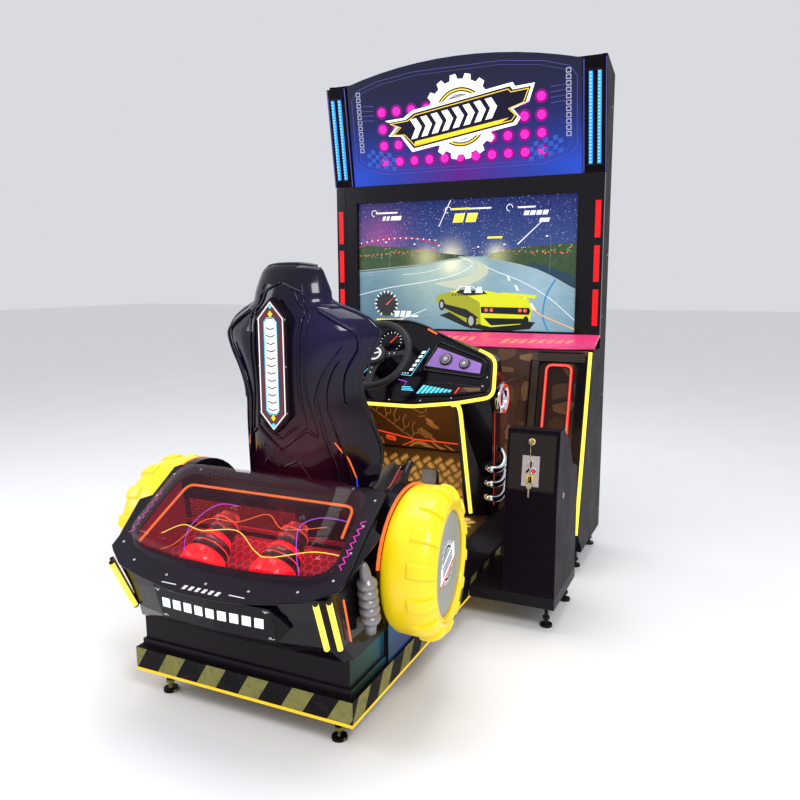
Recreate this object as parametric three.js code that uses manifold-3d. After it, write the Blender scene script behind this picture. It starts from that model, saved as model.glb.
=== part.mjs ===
import * as THREE from 'three';
import Module from 'manifold-3d';

const wasm = await Module();
wasm.setup();

// Driving dimensions, mm. X is the driver's right, Y points from seat to screen, Z is up.
const BASE_HALF = 415;
const BASE_LENGTH = 1598;
const BASE_LOW = 100;
const BASE_TOP = 171;
const FLOOR_TOP = 350;
const DECK_Y = -63;
const DECK_Z = 544;
const DECK_SLOPE = Math.atan2(198, 308);
const WHEEL_Y = 361;
const WHEEL_Z = 496;
const WHEEL_IN = 441;
const WING_R = 243;
const DASH_Y = 1010;
const DASH_Z = 935;
const DASH_LEAN = 0.65;
const STEER_Y = 983;
const STEER_Z = 1082;
const STEER_TILT = Math.atan2(92, 128);
const CAB_HALF = 730;
const BOARD = 22;
const CAB_BACK = 2128;
const MARQUEE_Y = 1985;
const MARQUEE_Z = 1885;
const GAP = 0.4;

// Closed triangle soup to a manifold solid, turned the right way out.
function solid(points, faces) {
  const keys = new Map();
  const verts = [];
  const index = points.map((p) => {
    const key = p.map((c) => Math.round(c * 1e4)).join(',');
    if (!keys.has(key)) {
      keys.set(key, verts.length / 3);
      verts.push(...p);
    }
    return keys.get(key);
  });
  const tris = [];
  let volume = 0;
  for (const f of faces) {
    const [a, b, c] = f.map((i) => index[i]);
    if (a === b || b === c || a === c) continue;
    tris.push(a, b, c);
    const [A, B, C] = [a, b, c].map((i) => new THREE.Vector3(...verts.slice(3 * i, 3 * i + 3)));
    volume += A.dot(B.cross(C));
  }
  if (volume < 0) {
    for (let i = 0; i < tris.length; i += 3) [tris[i], tris[i + 1]] = [tris[i + 1], tris[i]];
  }
  const mesh = new wasm.Mesh({
    numProp: 3, vertProperties: new Float32Array(verts), triVerts: new Uint32Array(tris),
  });
  return new wasm.Manifold(mesh);
}

// Joins a run of rings, each the same number of points, and caps both ends.
function loft(rings) {
  const n = rings[0].length;
  const points = rings.flat();
  const faces = [];
  for (let r = 0; r + 1 < rings.length; r += 1) {
    for (let i = 0; i < n; i += 1) {
      const j = (i + 1) % n;
      faces.push([r * n + i, r * n + j, (r + 1) * n + j], [r * n + i, (r + 1) * n + j, (r + 1) * n + i]);
    }
  }
  const centre = (ring) => [0, 1, 2].map((k) => ring.reduce((s, p) => s + p[k], 0) / n);
  const last = (rings.length - 1) * n;
  points.push(centre(rings[0]), centre(rings.at(-1)));
  for (let i = 0; i < n; i += 1) {
    const j = (i + 1) % n;
    faces.push([j, i, points.length - 2], [last + i, last + j, points.length - 1]);
  }
  return solid(points, faces);
}

// Polygon in two coordinates, swept straight from t0 to t1; place gives the 3-D point.
function prism(polygon, place, t0, t1) {
  const flat = polygon.map(([u, v]) => new THREE.Vector2(u, v));
  const caps = THREE.ShapeUtils.triangulateShape(flat, []);
  const n = polygon.length;
  const points = [...polygon.map(([u, v]) => place(u, v, t0)), ...polygon.map(([u, v]) => place(u, v, t1))];
  const clockwise = THREE.ShapeUtils.isClockWise(flat);
  const faces = [];
  for (const [a, b, c] of caps) {
    const turn = (flat[b].x - flat[a].x) * (flat[c].y - flat[a].y)
      - (flat[b].y - flat[a].y) * (flat[c].x - flat[a].x);
    const [p, q] = (turn < 0) === clockwise ? [b, c] : [c, b];
    faces.push([a, q, p], [n + a, n + p, n + q]);
  }
  for (let i = 0; i < n; i += 1) {
    const j = (i + 1) % n;
    faces.push([i, j, n + j], [i, n + j, n + i]);
  }
  return solid(points, faces);
}

const alongX = (y, z, t) => [t, y, z];
const alongY = (x, z, t) => [x, t, z];
const alongZ = (x, y, t) => [x, y, t];
const block = (x0, x1, y0, y1, z0, z1) => prism([[x0, y0], [x1, y0], [x1, y1], [x0, y1]], alongZ, z0, z1);

// Convex hull of a few points.
function hull(points) {
  return wasm.Manifold.hull(points);
}

// Round bar or cone along a path, with its own radius at every point.
function sweep(path, radii, sides = 12) {
  const pts = path.map((p) => new THREE.Vector3(...p));
  const rings = [];
  let normal = null;
  for (let i = 0; i < pts.length; i += 1) {
    const ahead = pts[Math.min(i + 1, pts.length - 1)].clone().sub(pts[Math.max(i - 1, 0)]).normalize();
    if (!normal) {
      normal = Math.abs(ahead.z) < 0.9 ? new THREE.Vector3(0, 0, 1) : new THREE.Vector3(1, 0, 0);
    }
    normal = normal.clone().sub(ahead.clone().multiplyScalar(normal.dot(ahead))).normalize();
    const side = ahead.clone().cross(normal);
    const r = Array.isArray(radii) ? radii[i] : radii;
    rings.push(Array.from({ length: sides }, (_, k) => {
      const a = (2 * Math.PI * k) / sides;
      return pts[i].clone().addScaledVector(normal, r * Math.cos(a)).addScaledVector(side, r * Math.sin(a)).toArray();
    }));
  }
  return loft(rings);
}

const rod = (a, b, r, sides = 12) => sweep([a, b], r, sides);

// Closed profile of [distance along axis, radius] turned about an axis; place maps (h, u, v) to a point.
function turned(profile, place, sides) {
  const rings = Array.from({ length: sides }, (_, k) => {
    const a = (2 * Math.PI * k) / sides;
    return profile.map(([h, r]) => place(h, r * Math.cos(a), r * Math.sin(a)));
  });
  const n = profile.length;
  const faces = [];
  for (let k = 0; k < sides; k += 1) {
    const m = (k + 1) % sides;
    for (let i = 0; i < n; i += 1) {
      const j = (i + 1) % n;
      faces.push([k * n + i, k * n + j, m * n + j], [k * n + i, m * n + j, m * n + i]);
    }
  }
  return solid(rings.flat(), faces);
}

const join = (...parts) => parts.reduce((a, b) => a.add(b));
const mirror = (part) => part.mirror([1, 0, 0]);

// Takes other out of part, with a small gap all round.
function clear(part, other, gap = GAP) {
  let result = part.subtract(other);
  for (const d of [[gap, 0, 0], [-gap, 0, 0], [0, gap, 0], [0, -gap, 0], [0, 0, gap], [0, 0, -gap]]) {
    result = result.subtract(other.translate(d));
  }
  return result;
}

// Largest piece, when trimming leaves crumbs.
function largest(part) {
  return part.decompose().sort((a, b) => b.volume() - a.volume())[0];
}

const group = new THREE.Group();
group.name = 'sitdown_racing_cabinet';
const built = [];

function add(name, part, color, roughness = 0.5, metalness = 0) {
  built.push({ name, part, color, roughness, metalness });
  return part;
}

const BLACK = 0x14121a;
const GLOSS = 0x0b0a10;
const YELLOW = 0xf7c90a;
const STEEL = 0x9a9ca3;

// ---- Base and pedestal ----
function foot(x, y, top) {
  const pad = rod([x, y, 0], [x, y, 10], 25);
  const stem = rod([x, y, 8], [x, y, top + 4], 8, 8);
  const nut = rod([x, y, 30], [x, y, 42], 15, 6);
  return join(pad, stem, nut);
}

let base = block(-BASE_HALF, BASE_HALF, 0, BASE_LENGTH, BASE_LOW, BASE_TOP);
base = base.subtract(block(-395, 395, 20, BASE_LENGTH - 20, BASE_LOW - 1, BASE_TOP - 18));
base = base.subtract(block(-700, 700, 30, BASE_LENGTH - 30, BASE_LOW - 1, BASE_LOW));
for (const x of [-332, 332]) {
  for (const y of [64, 1500]) {
    base = join(base, block(x - 26, x + 26, y - 26, y + 26, BASE_LOW, BASE_TOP - 10), foot(x, y, BASE_LOW));
  }
}
add('base_platform', base, 0x5d5f38, 0.6);

const strip = block(-BASE_HALF, BASE_HALF, -1, BASE_LENGTH - 4, 90, BASE_LOW - GAP);
const stripHole = block(-405, 405, 9, BASE_LENGTH + 5, 80, 120);
add('base_light', strip.subtract(stripHole), YELLOW, 0.3);

let pedestal = join(
  block(-400, 400, 20, 260, BASE_TOP + GAP, 196),
  block(-392, 392, 28, 270, BASE_TOP + GAP, 289.6),
  block(-408, 408, 254, BASE_LENGTH - 2, BASE_TOP + GAP, 344.6),
);
pedestal = pedestal.subtract(block(-380, 380, 40, BASE_LENGTH - 14, BASE_TOP - 1, 277.6));
pedestal = pedestal.subtract(block(-396, 396, 266, BASE_LENGTH - 14, BASE_TOP - 1, 332));
add('pedestal', pedestal, BLACK, 0.4);

// ---- Rear tub ----
const sin = Math.sin(DECK_SLOPE);
const cos = Math.cos(DECK_SLOPE);
// Across the car, up the deck's slope, and out of the deck's plane.
const onDeck = (u, v, w) => [u, DECK_Y + v * cos - w * sin, DECK_Z + v * sin + w * cos];

function tubRing(z, rear, mid, chamferY, chamferX, side, front) {
  const half = [[0, rear - 8], [212, rear], [chamferX, mid], [side, chamferY], [side + 2, 120], [side + 2, front]];
  const left = half.slice(1).reverse().map(([x, y]) => [-x, y]);
  return [...half, ...left].map(([x, y]) => [x, y, z]);
}

function tubBody(inset, low, high) {
  const s = inset;
  return loft([
    tubRing(low, 2 + s, 6 + s, 34 + s, 384 - s, 405 - s, 250 - s),
    tubRing(345, -58 + s, -33 + s, -4 + s, 352 - s, 392 - s, 250 - s),
    tubRing(440, -86 + s, -68 + s, -36 + s, 356 - s, 394 - s, 250 - s),
    tubRing(525, -110 + s, -104 + s, -74 + s, 362 - s, 398 - s, 250 - s),
    tubRing(high, -120 + s, -116 + s, -86 + s, 366 - s, 404 - s, 250 - s),
  ]);
}

const aboveDeck = prism([[-700, -400], [700, -400], [700, 700], [-700, 700]], (u, v, w) => onDeck(u, v, w), -0.4, 900);
const wingCircle = Array.from({ length: 40 }, (_, k) => {
  const a = (2 * Math.PI * k) / 40;
  return [WHEEL_Y + WING_R * Math.cos(a), WHEEL_Z + WING_R * Math.sin(a)];
});
const wing = prism(wingCircle, alongX, 396, 436).subtract(block(300, 500, 0, 700, 100, 345));
const flare = hull([
  onDeck(398, 11, -0.4), onDeck(424, 11, -0.4), onDeck(462, 200, -0.4), onDeck(398, 240, -0.4),
  onDeck(398, 11, -30), onDeck(410, 11, -28), onDeck(428, 200, -30), onDeck(398, 240, -30),
]);
let tub = join(tubBody(0, 290, 780), wing, mirror(wing), flare, mirror(flare));
tub = tub.subtract(tubBody(8, 300, 781)).subtract(aboveDeck);
const tailLine = [[357, -39, 345], [384, -10, 337], [370, -118, 522], [396, -90, 520]];
const outward = new THREE.Vector3(0.66, -0.72, -0.2).normalize();
const shift = (p, d) => p.map((c, i) => c + outward.getComponent(i) * d);
const tailPlate = hull([...tailLine.map((p) => shift(p, -1)), ...tailLine.map((p) => shift(p, -5))]);
const tailTubes = [[0, 2], [1, 3]].map(([a, b]) => rod(shift(tailLine[a], 3), shift(tailLine[b], 3), 8, 10));
const tailLight = join(tailPlate, ...tailTubes);
tub = clear(tub, hull([...tailLine.map((p) => shift(p, 20)), ...tailLine.map((p) => shift(p, -5.6))]));
tub = clear(tub, mirror(hull([...tailLine.map((p) => shift(p, 20)), ...tailLine.map((p) => shift(p, -5.6))])));
tub = largest(tub);
add('tub_shell', tub, BLACK, 0.35);
add('tail_light_right', clear(tailLight, tub), YELLOW, 0.3);
add('tail_light_left', clear(mirror(tailLight), tub), YELLOW, 0.3);

const deckHalf = [[0, -110], [101, -108], [230, -86], [340, -60], [423, 0], [424, 60], [416, 200], [415, 352], [400, 364]];
const deckOutline = [...deckHalf, ...deckHalf.slice(1).reverse().map(([u, v]) => [-u, v])];
const openHalf = [[0, 0], [160, 4], [310, 22], [352, 46], [368, 84], [362, 250], [354, 302], [332, 328], [296, 338]];
const openOutline = [...openHalf, ...openHalf.slice(1).reverse().map(([u, v]) => [-u, v])];
const deck = prism(deckOutline, onDeck, 0, 6).subtract(prism(openOutline, onDeck, -5, 20));
add('engine_deck', deck, 0x241a33, 0.15);

const domeHalf = [[0, -20], [160, -16], [317, 4], [365, 32], [385, 76], [379, 250], [372, 312], [345, 345], [300, 356]];
const topHalf = [[0, 16], [140, 18], [250, 22], [292, 32], [313, 60], [304, 230], [298, 280], [286, 306], [262, 317]];
function domeRing(t, w, inset) {
  const pts = domeHalf.map(([u, v], i) => {
    const [tu, tv] = topHalf[i];
    return [u + (tu - u) * t, v + (tv - v) * t];
  });
  const all = [...pts, ...pts.slice(1).reverse().map(([u, v]) => [-u, v])];
  return all.map(([u, v]) => onDeck(u * (1 - inset / 380), 168 + (v - 168) * (1 - inset / 180), w));
}
const domeOuter = loft([domeRing(0, 6.4, 0), domeRing(0.16, 30, 0), domeRing(0.42, 52, 0), domeRing(0.72, 66, 0), domeRing(1, 71, 0)]);
const domeInner = loft([domeRing(0, 5, 4), domeRing(0.16, 29, 4), domeRing(0.42, 50, 4), domeRing(0.72, 62, 4), domeRing(1, 67, 4)]);
add('dome_cover', domeOuter.subtract(domeInner), 0xb04a70, 0.05);

const bayHalf = [[0, -15], [330, -15], [372, 20], [380, 236]];
const bayOutline = [...bayHalf, ...bayHalf.slice(1).reverse().map(([u, v]) => [-u, v])];
let bay = prism(bayOutline, onDeck, -171, -165);
bay = clear(bay, tub);
add('bay_floor', largest(bay), 0x6d1020, 0.5);

const pistonProfile = [[18, 50], [26, 72], [78, 72], [84, 56], [92, 66], [122, 66], [150, 46], [158, 40], [166, 48], [182, 48],
  [190, 38], [198, 46], [214, 46], [222, 34], [244, 30], [252, 16], [296, 13]];
const pistonAt = (u) => sweep(pistonProfile.map(([v]) => onDeck(u, v, -86 + v * 0.06)), pistonProfile.map((p) => p[1]), 12);
const pistonBar = prism([[-150, 34], [150, 34], [150, 64], [-150, 64]], onDeck, -164.6, -110);
add('piston_pair', clear(join(pistonAt(134), pistonAt(-134), pistonBar), tub), 0xd8141c, 0.3);

const plateHalf = [[0, 353], [210, 353], [263, 408], [212, 470], [0, 470]];
const rearPlate = hull([...plateHalf, ...plateHalf.map(([x, z]) => [-x, z])].flatMap(([x, z]) => {
  const y = -61 - (z - 353) * 0.3 - 10 * (1 - Math.abs(x) / 212) + (Math.abs(x) > 220 ? 12 : 0);
  return [[x, y - 16, z], [x, y + 6, z]];
}));
const nameplate = largest(clear(rearPlate, tub));
add('rear_nameplate', nameplate, 0x1d1b22, 0.3, 0.3);

// ---- Wheels ----
const wheelPlace = (h, u, v) => [h, WHEEL_Y + u, WHEEL_Z + v];
// The moulded wheel's outer face toes in towards the front, and its inner face stays square.
const toeIn = (part) => part.warp((v) => {
  if (v[0] > 444) v[0] -= ((v[0] - 444) / 139) * (16 + 0.114 * (v[1] - WHEEL_Y));
});
const tyreProfile = [[444, 171], [444, 216], [456, 235], [478, 240], [540, 240], [566, 233], [590, 218], [603, 198], [600, 179], [584, 171]];
let tyre = turned(tyreProfile, wheelPlace, 32);
const BLOCKS = 14;
for (let k = 0; k < BLOCKS; k += 1) {
  const a = (2 * Math.PI * (k + 0.5)) / BLOCKS;
  const corner = (h, r, d) => wheelPlace(h, r * Math.cos(a) - d * Math.sin(a), r * Math.sin(a) + d * Math.cos(a));
  const points = [];
  for (const s of [-1, 1]) {
    points.push(corner(520, 225, 26 * s), corner(525, 248, 22 * s), corner(566, 246, 24 * s));
    points.push(corner(608, 214, 21 * s), corner(594, 196, 20 * s));
  }
  tyre = tyre.add(hull(points));
}
tyre = toeIn(tyre);
add('tyre_right', tyre, YELLOW, 0.35);
add('tyre_left', mirror(tyre), YELLOW, 0.35);
const disc = toeIn(join(
  rod([575, WHEEL_Y, WHEEL_Z], [583, WHEEL_Y, WHEEL_Z], 170, 32),
  rod([436.5, WHEEL_Y, WHEEL_Z], [577, WHEEL_Y, WHEEL_Z], 62, 16),
));
add('wheel_disc_right', disc, 0xb9bcb6, 0.4);
add('wheel_disc_left', mirror(disc), 0xb9bcb6, 0.4);

const exhaustPath = [[420, 62, 582], [424, 64, 566], [427, 66, 548], [428, 68, 534], [429, 70, 524], [430, 73, 510],
  [430, 75, 496], [430, 77, 486], [430, 80, 472], [430, 82, 460], [430, 84, 450], [430, 86, 436], [430, 88, 424],
  [430, 90, 412], [429, 92, 398], [428, 94, 388], [426, 96, 350]];
const exhaustR = [8, 14, 17, 18, 24, 30, 24, 31, 31, 24, 31, 31, 24, 30, 26, 19, 18];
const exhaust = largest(clear(sweep(exhaustPath, exhaustR, 10), tub));
add('exhaust_right', exhaust, 0x77757a, 0.4, 0.4);
add('exhaust_left', mirror(exhaust), 0x77757a, 0.4, 0.4);

// ---- Seat ----
// Each station: outer centre [y, z], inward direction [y, z], half width and how far the sides wrap.
const SEAT = [
  [850, 575, 0, 1, 232, 100], [760, 535, 0, 1, 240, 95], [650, 505, 0, 1, 247, 105], [540, 490, 0.03, 1, 252, 130],
  [440, 495, 0.2, 0.98, 255, 150], [368, 530, 0.5, 0.86, 257, 170], [325, 592, 0.82, 0.57, 260, 180],
  [302, 680, 0.97, 0.24, 265, 196], [290, 800, 1, 0.06, 270, 214], [280, 930, 1, 0, 250, 176],
  [271, 1014, 1, 0, 234, 161], [268, 1086, 1, 0, 245, 145], [268, 1150, 1, 0, 280, 149], [272, 1212, 1, 0, 306, 152],
  [280, 1250, 1, 0, 282, 138], [288, 1278, 1, 0, 238, 117], [296, 1314, 1, 0, 160, 79], [304, 1350, 1, 0, 146, 70],
  [316, 1384, 1, -0.1, 134, 58], [340, 1425, 0.95, -0.3, 118, 38], [358, 1440, 0.9, -0.45, 104, 22],
];
function seatPoint(row, s, depth) {
  const [y, z, ny, nz, half, wrap] = row;
  const x = half * (s - 0.1 * s ** 3) / 0.9 * (1 - (depth / half) * 0.9 * Math.abs(s) ** 3);
  const lift = wrap * Math.abs(s) ** 2.3 + depth;
  return [x, y + ny * lift, z + nz * lift];
}
const ACROSS = [-1, -0.88, -0.72, -0.5, -0.25, 0, 0.25, 0.5, 0.72, 0.88, 1];
function uShell(rows, sides, out, inn) {
  const points = [];
  const faces = [];
  const n = sides.length;
  for (const row of rows) {
    for (const s of sides) points.push(seatPoint(row, s, out));
    for (const s of sides) points.push(seatPoint(row, s, typeof inn === 'function' ? inn(rows.indexOf(row), s) : inn));
  }
  const at = (i, j, k) => i * 2 * n + k * n + j;
  const quad = (a, b, c, d) => faces.push([a, b, c], [a, c, d]);
  for (let i = 0; i + 1 < rows.length; i += 1) {
    for (let j = 0; j + 1 < n; j += 1) {
      quad(at(i, j, 0), at(i, j + 1, 0), at(i + 1, j + 1, 0), at(i + 1, j, 0));
      quad(at(i, j, 1), at(i + 1, j, 1), at(i + 1, j + 1, 1), at(i, j + 1, 1));
    }
    quad(at(i, 0, 0), at(i + 1, 0, 0), at(i + 1, 0, 1), at(i, 0, 1));
    quad(at(i, n - 1, 0), at(i, n - 1, 1), at(i + 1, n - 1, 1), at(i + 1, n - 1, 0));
  }
  const last = rows.length - 1;
  for (let j = 0; j + 1 < n; j += 1) {
    quad(at(0, j, 0), at(0, j, 1), at(0, j + 1, 1), at(0, j + 1, 0));
    quad(at(last, j, 0), at(last, j + 1, 0), at(last, j + 1, 1), at(last, j, 1));
  }
  return solid(points, faces);
}
const SHELL_T = 24;
const seatShell = uShell(SEAT, ACROSS, 0, SHELL_T);
const padSides = [-0.72, -0.66, -0.5, -0.25, 0, 0.25, 0.5, 0.66, 0.72];
const padDepth = (count, thick) => (i, s) => {
  const end = i === 0 || i === count - 1;
  return SHELL_T + 1 + (Math.abs(s) > 0.7 || end ? 8 : thick * (Math.abs(s) > 0.6 ? 0.75 : 1));
};
const cushionRows = SEAT.slice(0, 5);
const backRows = SEAT.slice(7, 18);
add('seat_shell', seatShell, GLOSS, 0.12);
const cushion = uShell(cushionRows, padSides, SHELL_T + 0.8, padDepth(cushionRows.length, 56));
add('seat_cushion', clear(cushion, seatShell), 0x1a1a20, 0.7);
const backPad = uShell(backRows, padSides, SHELL_T + 0.8, padDepth(backRows.length, 46));
add('seat_back_pad', clear(backPad, seatShell), 0x1a1a20, 0.7);
const seatPlate = prism([[0, 890], [58, 946], [58, 1278], [0, 1334], [-58, 1278], [-58, 946]], alongY, 250, 284);
add('seat_back_plate', largest(clear(seatPlate, uShell(SEAT, ACROSS, -0.6, 60))), 0x1d1a20, 0.3);

const rails = join(
  ...[-170, 170].map((x) => block(x - 20, x + 20, 330, 830, FLOOR_TOP + GAP, 380)),
  ...[352, 784].map((y) => block(-175, 175, y, y + 30, FLOOR_TOP + GAP, 358)),
);
add('seat_rails', rails, STEEL, 0.4, 0.8);
let carriage = join(
  ...[-170, 170].map((x) => block(x - 26, x + 26, 390, 760, 380.5, 392)),
  ...[-150, 150].map((x) => block(x - 14, x + 14, 420, 740, 384, 540)),
  block(-160, 160, 560, 600, 384, 430),
);
carriage = clear(carriage, seatShell);
carriage = largest(carriage.subtract(hull(SEAT.slice(0, 6).flatMap((r) => [seatPoint(r, -0.8, 2), seatPoint(r, 0.8, 2),
  seatPoint(r, 0, 2), [seatPoint(r, -1, 0)[0], r[0], 900], [seatPoint(r, 1, 0)[0], r[0], 900]]))));
add('seat_carriage', carriage, 0x2b2b30, 0.5, 0.6);
const lever = join(
  ...[-60, 60].map((x) => rod([x, 730, 440], [x, 875, 452], 6, 10)),
  rod([-64, 875, 452], [64, 875, 452], 6, 10),
  rod([-135.6, 730, 440], [135.6, 730, 440], 6, 10),
);
add('seat_lever', lever, STEEL, 0.4, 0.8);

// ---- Footwell ----
let floorPlate = join(
  prism([[-394, 256], [394, 256], [394, 610], [408, 610], [408, 1240], [392, 1250], [392, 1402], [-392, 1402],
    [-392, 1250], [-408, 1240], [-408, 610], [-394, 610]], alongZ, 345, FLOOR_TOP),
  prism([[1398, 345], [1400, 350], [1562, 549], [1568, 549], [1568, 543], [1404, 345]], alongX, -392, 392),
);
add('footwell_plate', floorPlate, 0xb0a58c, 0.35, 0.7);

// ---- Dash console ----
const dashFace = (x, z, d) => {
  const y = DASH_Y + (z - DASH_Z) * DASH_LEAN;
  const n = Math.hypot(1, DASH_LEAN);
  return [x, y - d / n, z + (d * DASH_LEAN) / n];
};
const dashHalf = [[0, 884], [171, 885], [354, 908], [480, 934], [492, 954], [474, 1058], [455, 1078], [195, 1173],
  [165, 1187], [120, 1200], [75, 1210], [0, 1213]];
const dashRing = [...dashHalf, ...dashHalf.slice(1, -1).reverse().map(([x, z]) => [-x, z])];
const shrink = (k, d) => dashRing.map(([x, z]) => dashFace(x * k, 1045 + (z - 1045) * k, d));
const rear = (kx, y, low, high) => dashRing.map(([x, z]) => [x * kx, y, low + ((z - 884) / 329) * (high - low)]);
const consoleOuter = loft([shrink(0.975, 0), shrink(1, -14), rear(0.94, 1270, 900, 1185), rear(0.76, 1440, 932, 1130)]);
const consoleInner = loft([shrink(0.93, -14), shrink(0.94, -22), rear(0.88, 1270, 918, 1170), rear(0.72, 1428, 948, 1118)]);
const steerOut = [0, -Math.cos(STEER_TILT), Math.sin(STEER_TILT)];
const steerAt = (d) => [0, STEER_Y + steerOut[1] * d, STEER_Z + steerOut[2] * d];
let dashBody = consoleOuter.subtract(consoleInner);
dashBody = dashBody.subtract(block(-240, 240, 1150, 1400, 850, 1000));
dashBody = dashBody.subtract(rod(steerAt(-60), steerAt(-200), 17, 20));
add('dash_console', dashBody, GLOSS, 0.15);

const housing = rod(steerAt(-36), steerAt(-98), 52, 24).subtract(rod(steerAt(-20), steerAt(-200), 15, 20));
const columnHousing = largest(clear(housing, consoleOuter));
add('column_housing', columnHousing, BLACK, 0.4);

const wheelRing = (radius, tube, n, m) => {
  const e = [0, Math.sin(STEER_TILT), Math.cos(STEER_TILT)];
  const place = (h, u, v) => {
    const c = steerAt(h);
    return [c[0] + u, c[1] + e[1] * v, c[2] + e[2] * v];
  };
  const profile = Array.from({ length: m }, (_, k) => {
    const a = (2 * Math.PI * k) / m;
    return [tube * 0.9 * Math.sin(a), radius + tube * Math.cos(a)];
  });
  return { ring: turned(profile, place, n), place };
};
const { ring: rim, place: onWheel } = wheelRing(146, 15, 28, 8);
const spoke = (angle, width) => {
  const c = Math.cos(angle);
  const s = Math.sin(angle);
  const pts = [];
  for (const [r, w] of [[30, width * 1.2], [142, width * 0.8]]) {
    for (const side of [-1, 1]) {
      for (const h of [-7, 2]) pts.push(onWheel(h - (r < 60 ? 6 : 0), r * c - side * w * s, r * s + side * w * c));
    }
  }
  return hull(pts);
};
const steeringWheel = join(rim, spoke(0.12, 18), spoke(Math.PI - 0.12, 18), spoke(-Math.PI / 2, 24),
  rod(steerAt(-16), steerAt(8), 44, 24));
add('steering_wheel', steeringWheel, 0x18181c, 0.5);
add('steering_shaft', join(rod(steerAt(-16.4), steerAt(-32), 30, 20), rod(steerAt(-30), steerAt(-230), 12, 16),
  rod(steerAt(-205), steerAt(-228), 40, 24)), STEEL, 0.35, 0.9);

const panelPts = [[225, 1105], [190, 1032], [428, 1012], [428, 1050]];
const buttonPanel = prism(panelPts, dashFace, 0.6, 3.6);
const buttonAt = (x, z, r, d0, d1) => rod(dashFace(x, z, d0), dashFace(x, z, d1), r, 14);
let panelPart = buttonPanel;
const buttons = [[272, 1060, 22], [356, 1046, 18]];
for (const [x, z, r] of buttons) {
  panelPart = join(panelPart, buttonAt(x, z, r + 5, 0.6, 8)).subtract(buttonAt(x, z, r + 0.4, -20, 30));
}
add('button_panel', panelPart, 0x7b3fa0, 0.35);
buttons.forEach(([x, z, r], i) => {
  dashBody = dashBody.subtract(buttonAt(x, z, r + 2, -40, 5));
  add(i ? 'view_button' : 'start_button', join(buttonAt(x, z, r, -3, 13), buttonAt(x, z, r - 6, -18, 0)), 0xb9b6b2, 0.3);
});
built.find((b) => b.name === 'dash_console').part = dashBody;

// ---- Cheeks: pillar in front, side wall behind ----
const LEDGE_TOP = 1047;
let cheek = join(
  hull([[300, 1252, 350.4], [330, 1300, 350.4], [414, 1312, 350.4], [414, 1420, 350.4], [300, 1330, 350.4],
    [300, 1096, 930], [330, 1130, 930], [414, 1246, 930], [414, 1330, 930], [300, 1250, 930]]),
  prism([[1300, 350.4], [1596, 350.4], [1636, 350.4], [1780, 920], [1300, 930]], alongX, 393, 414),
);
cheek = clear(cheek, consoleOuter);
cheek = clear(cheek, floorPlate);
cheek = largest(cheek);
add('cheek_right', cheek, BLACK, 0.3);
add('cheek_left', mirror(cheek), BLACK, 0.3);

let kick = prism([[1574, 550], [1440, 940], [1453, 940], [1587, 550]], alongX, -392.4, 392.4);
kick = largest(clear(clear(clear(kick, consoleOuter), cheek), mirror(cheek)));
add('kick_panel', kick, 0x4b3026, 0.6);

// ---- Edge light of the cockpit ----
const edgeRight = [dashFace(0, 878, -4), dashFace(171, 879, -4), dashFace(354, 902, -4), dashFace(484, 929, -4),
  dashFace(498, 952, -4), dashFace(481, 1060, -4), dashFace(460, 1083, -4), dashFace(405, 1103, -4)];
const edge = [...edgeRight.slice().reverse(), ...edgeRight.slice(1).map(([x, y, z]) => [-x, y, z])];
const riser = [dashFace(340, 896, -6), [326, 1030, 888], [322, 1118, 868], [322, 1262, 364]];
let light = join(sweep(edge, 6, 6), sweep(riser, 6, 6), mirror(sweep(riser, 6, 6)));
light = clear(clear(clear(light, consoleOuter, 0.5), cheek), mirror(cheek));
add('cockpit_light', largest(light), YELLOW, 0.3);

// ---- Pedals ----
const PEDAL_Y = 1370;
const PEDAL_Z = 376;
let bracket = join(
  block(-130, 130, 1330, 1394, FLOOR_TOP + GAP, 355),
  ...[-128, -2, 122].map((x) => block(x, x + 6, 1352, 1388, 353, 388)),
  rod([-127, PEDAL_Y, PEDAL_Z], [127, PEDAL_Y, PEDAL_Z], 6, 16),
);
add('pedal_bracket', bracket, BLACK, 0.4, 0.5);
function pedal(x0, x1) {
  const face = hull([x0, x1].flatMap((x) => [[x, 1352, 417], [x, 1358, 416], [x, 1372, 515], [x, 1378, 514]]));
  const arm = prism([[1357, 430], [1362, 470], [1376, 500], [1392, 470], [1386, 376], [1370, 362], [1358, 376]], alongX,
    (x0 + x1) / 2 - 16, (x0 + x1) / 2 + 16);
  return join(face, arm).subtract(rod([-200, PEDAL_Y, PEDAL_Z], [200, PEDAL_Y, PEDAL_Z], 6.4, 16));
}
add('accelerator_pedal', pedal(42, 118), 0x8f9298, 0.35, 0.8);
add('brake_pedal', pedal(-118, -42), 0x8f9298, 0.35, 0.8);

// ---- Engine trim on each side wall ----
const turbo = turned([[419, 40], [419, 62], [432, 72], [448, 72], [455, 60], [448, 48], [434, 44]],
  (h, u, v) => [h, 1317 + u, 877 + v], 20);
const pipe = (z) => sweep([[396, 1258, z], [424, 1262, z - 6], [446, 1284, z - 4], [454, 1318, z + 14],
  [446, 1346, z + 44], [420, 1358, z + 70]], [15, 17, 17, 17, 15, 11], 8);
let trim = join(turbo, block(414.6, 420, 1310, 1376, 420, 930), pipe(576), pipe(511), pipe(446));
trim = largest(clear(clear(clear(trim, cheek), consoleOuter), light));
add('engine_trim_right', trim, 0xa9adb5, 0.2, 0.9);
add('engine_trim_left', mirror(trim), 0xa9adb5, 0.2, 0.9);

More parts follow.
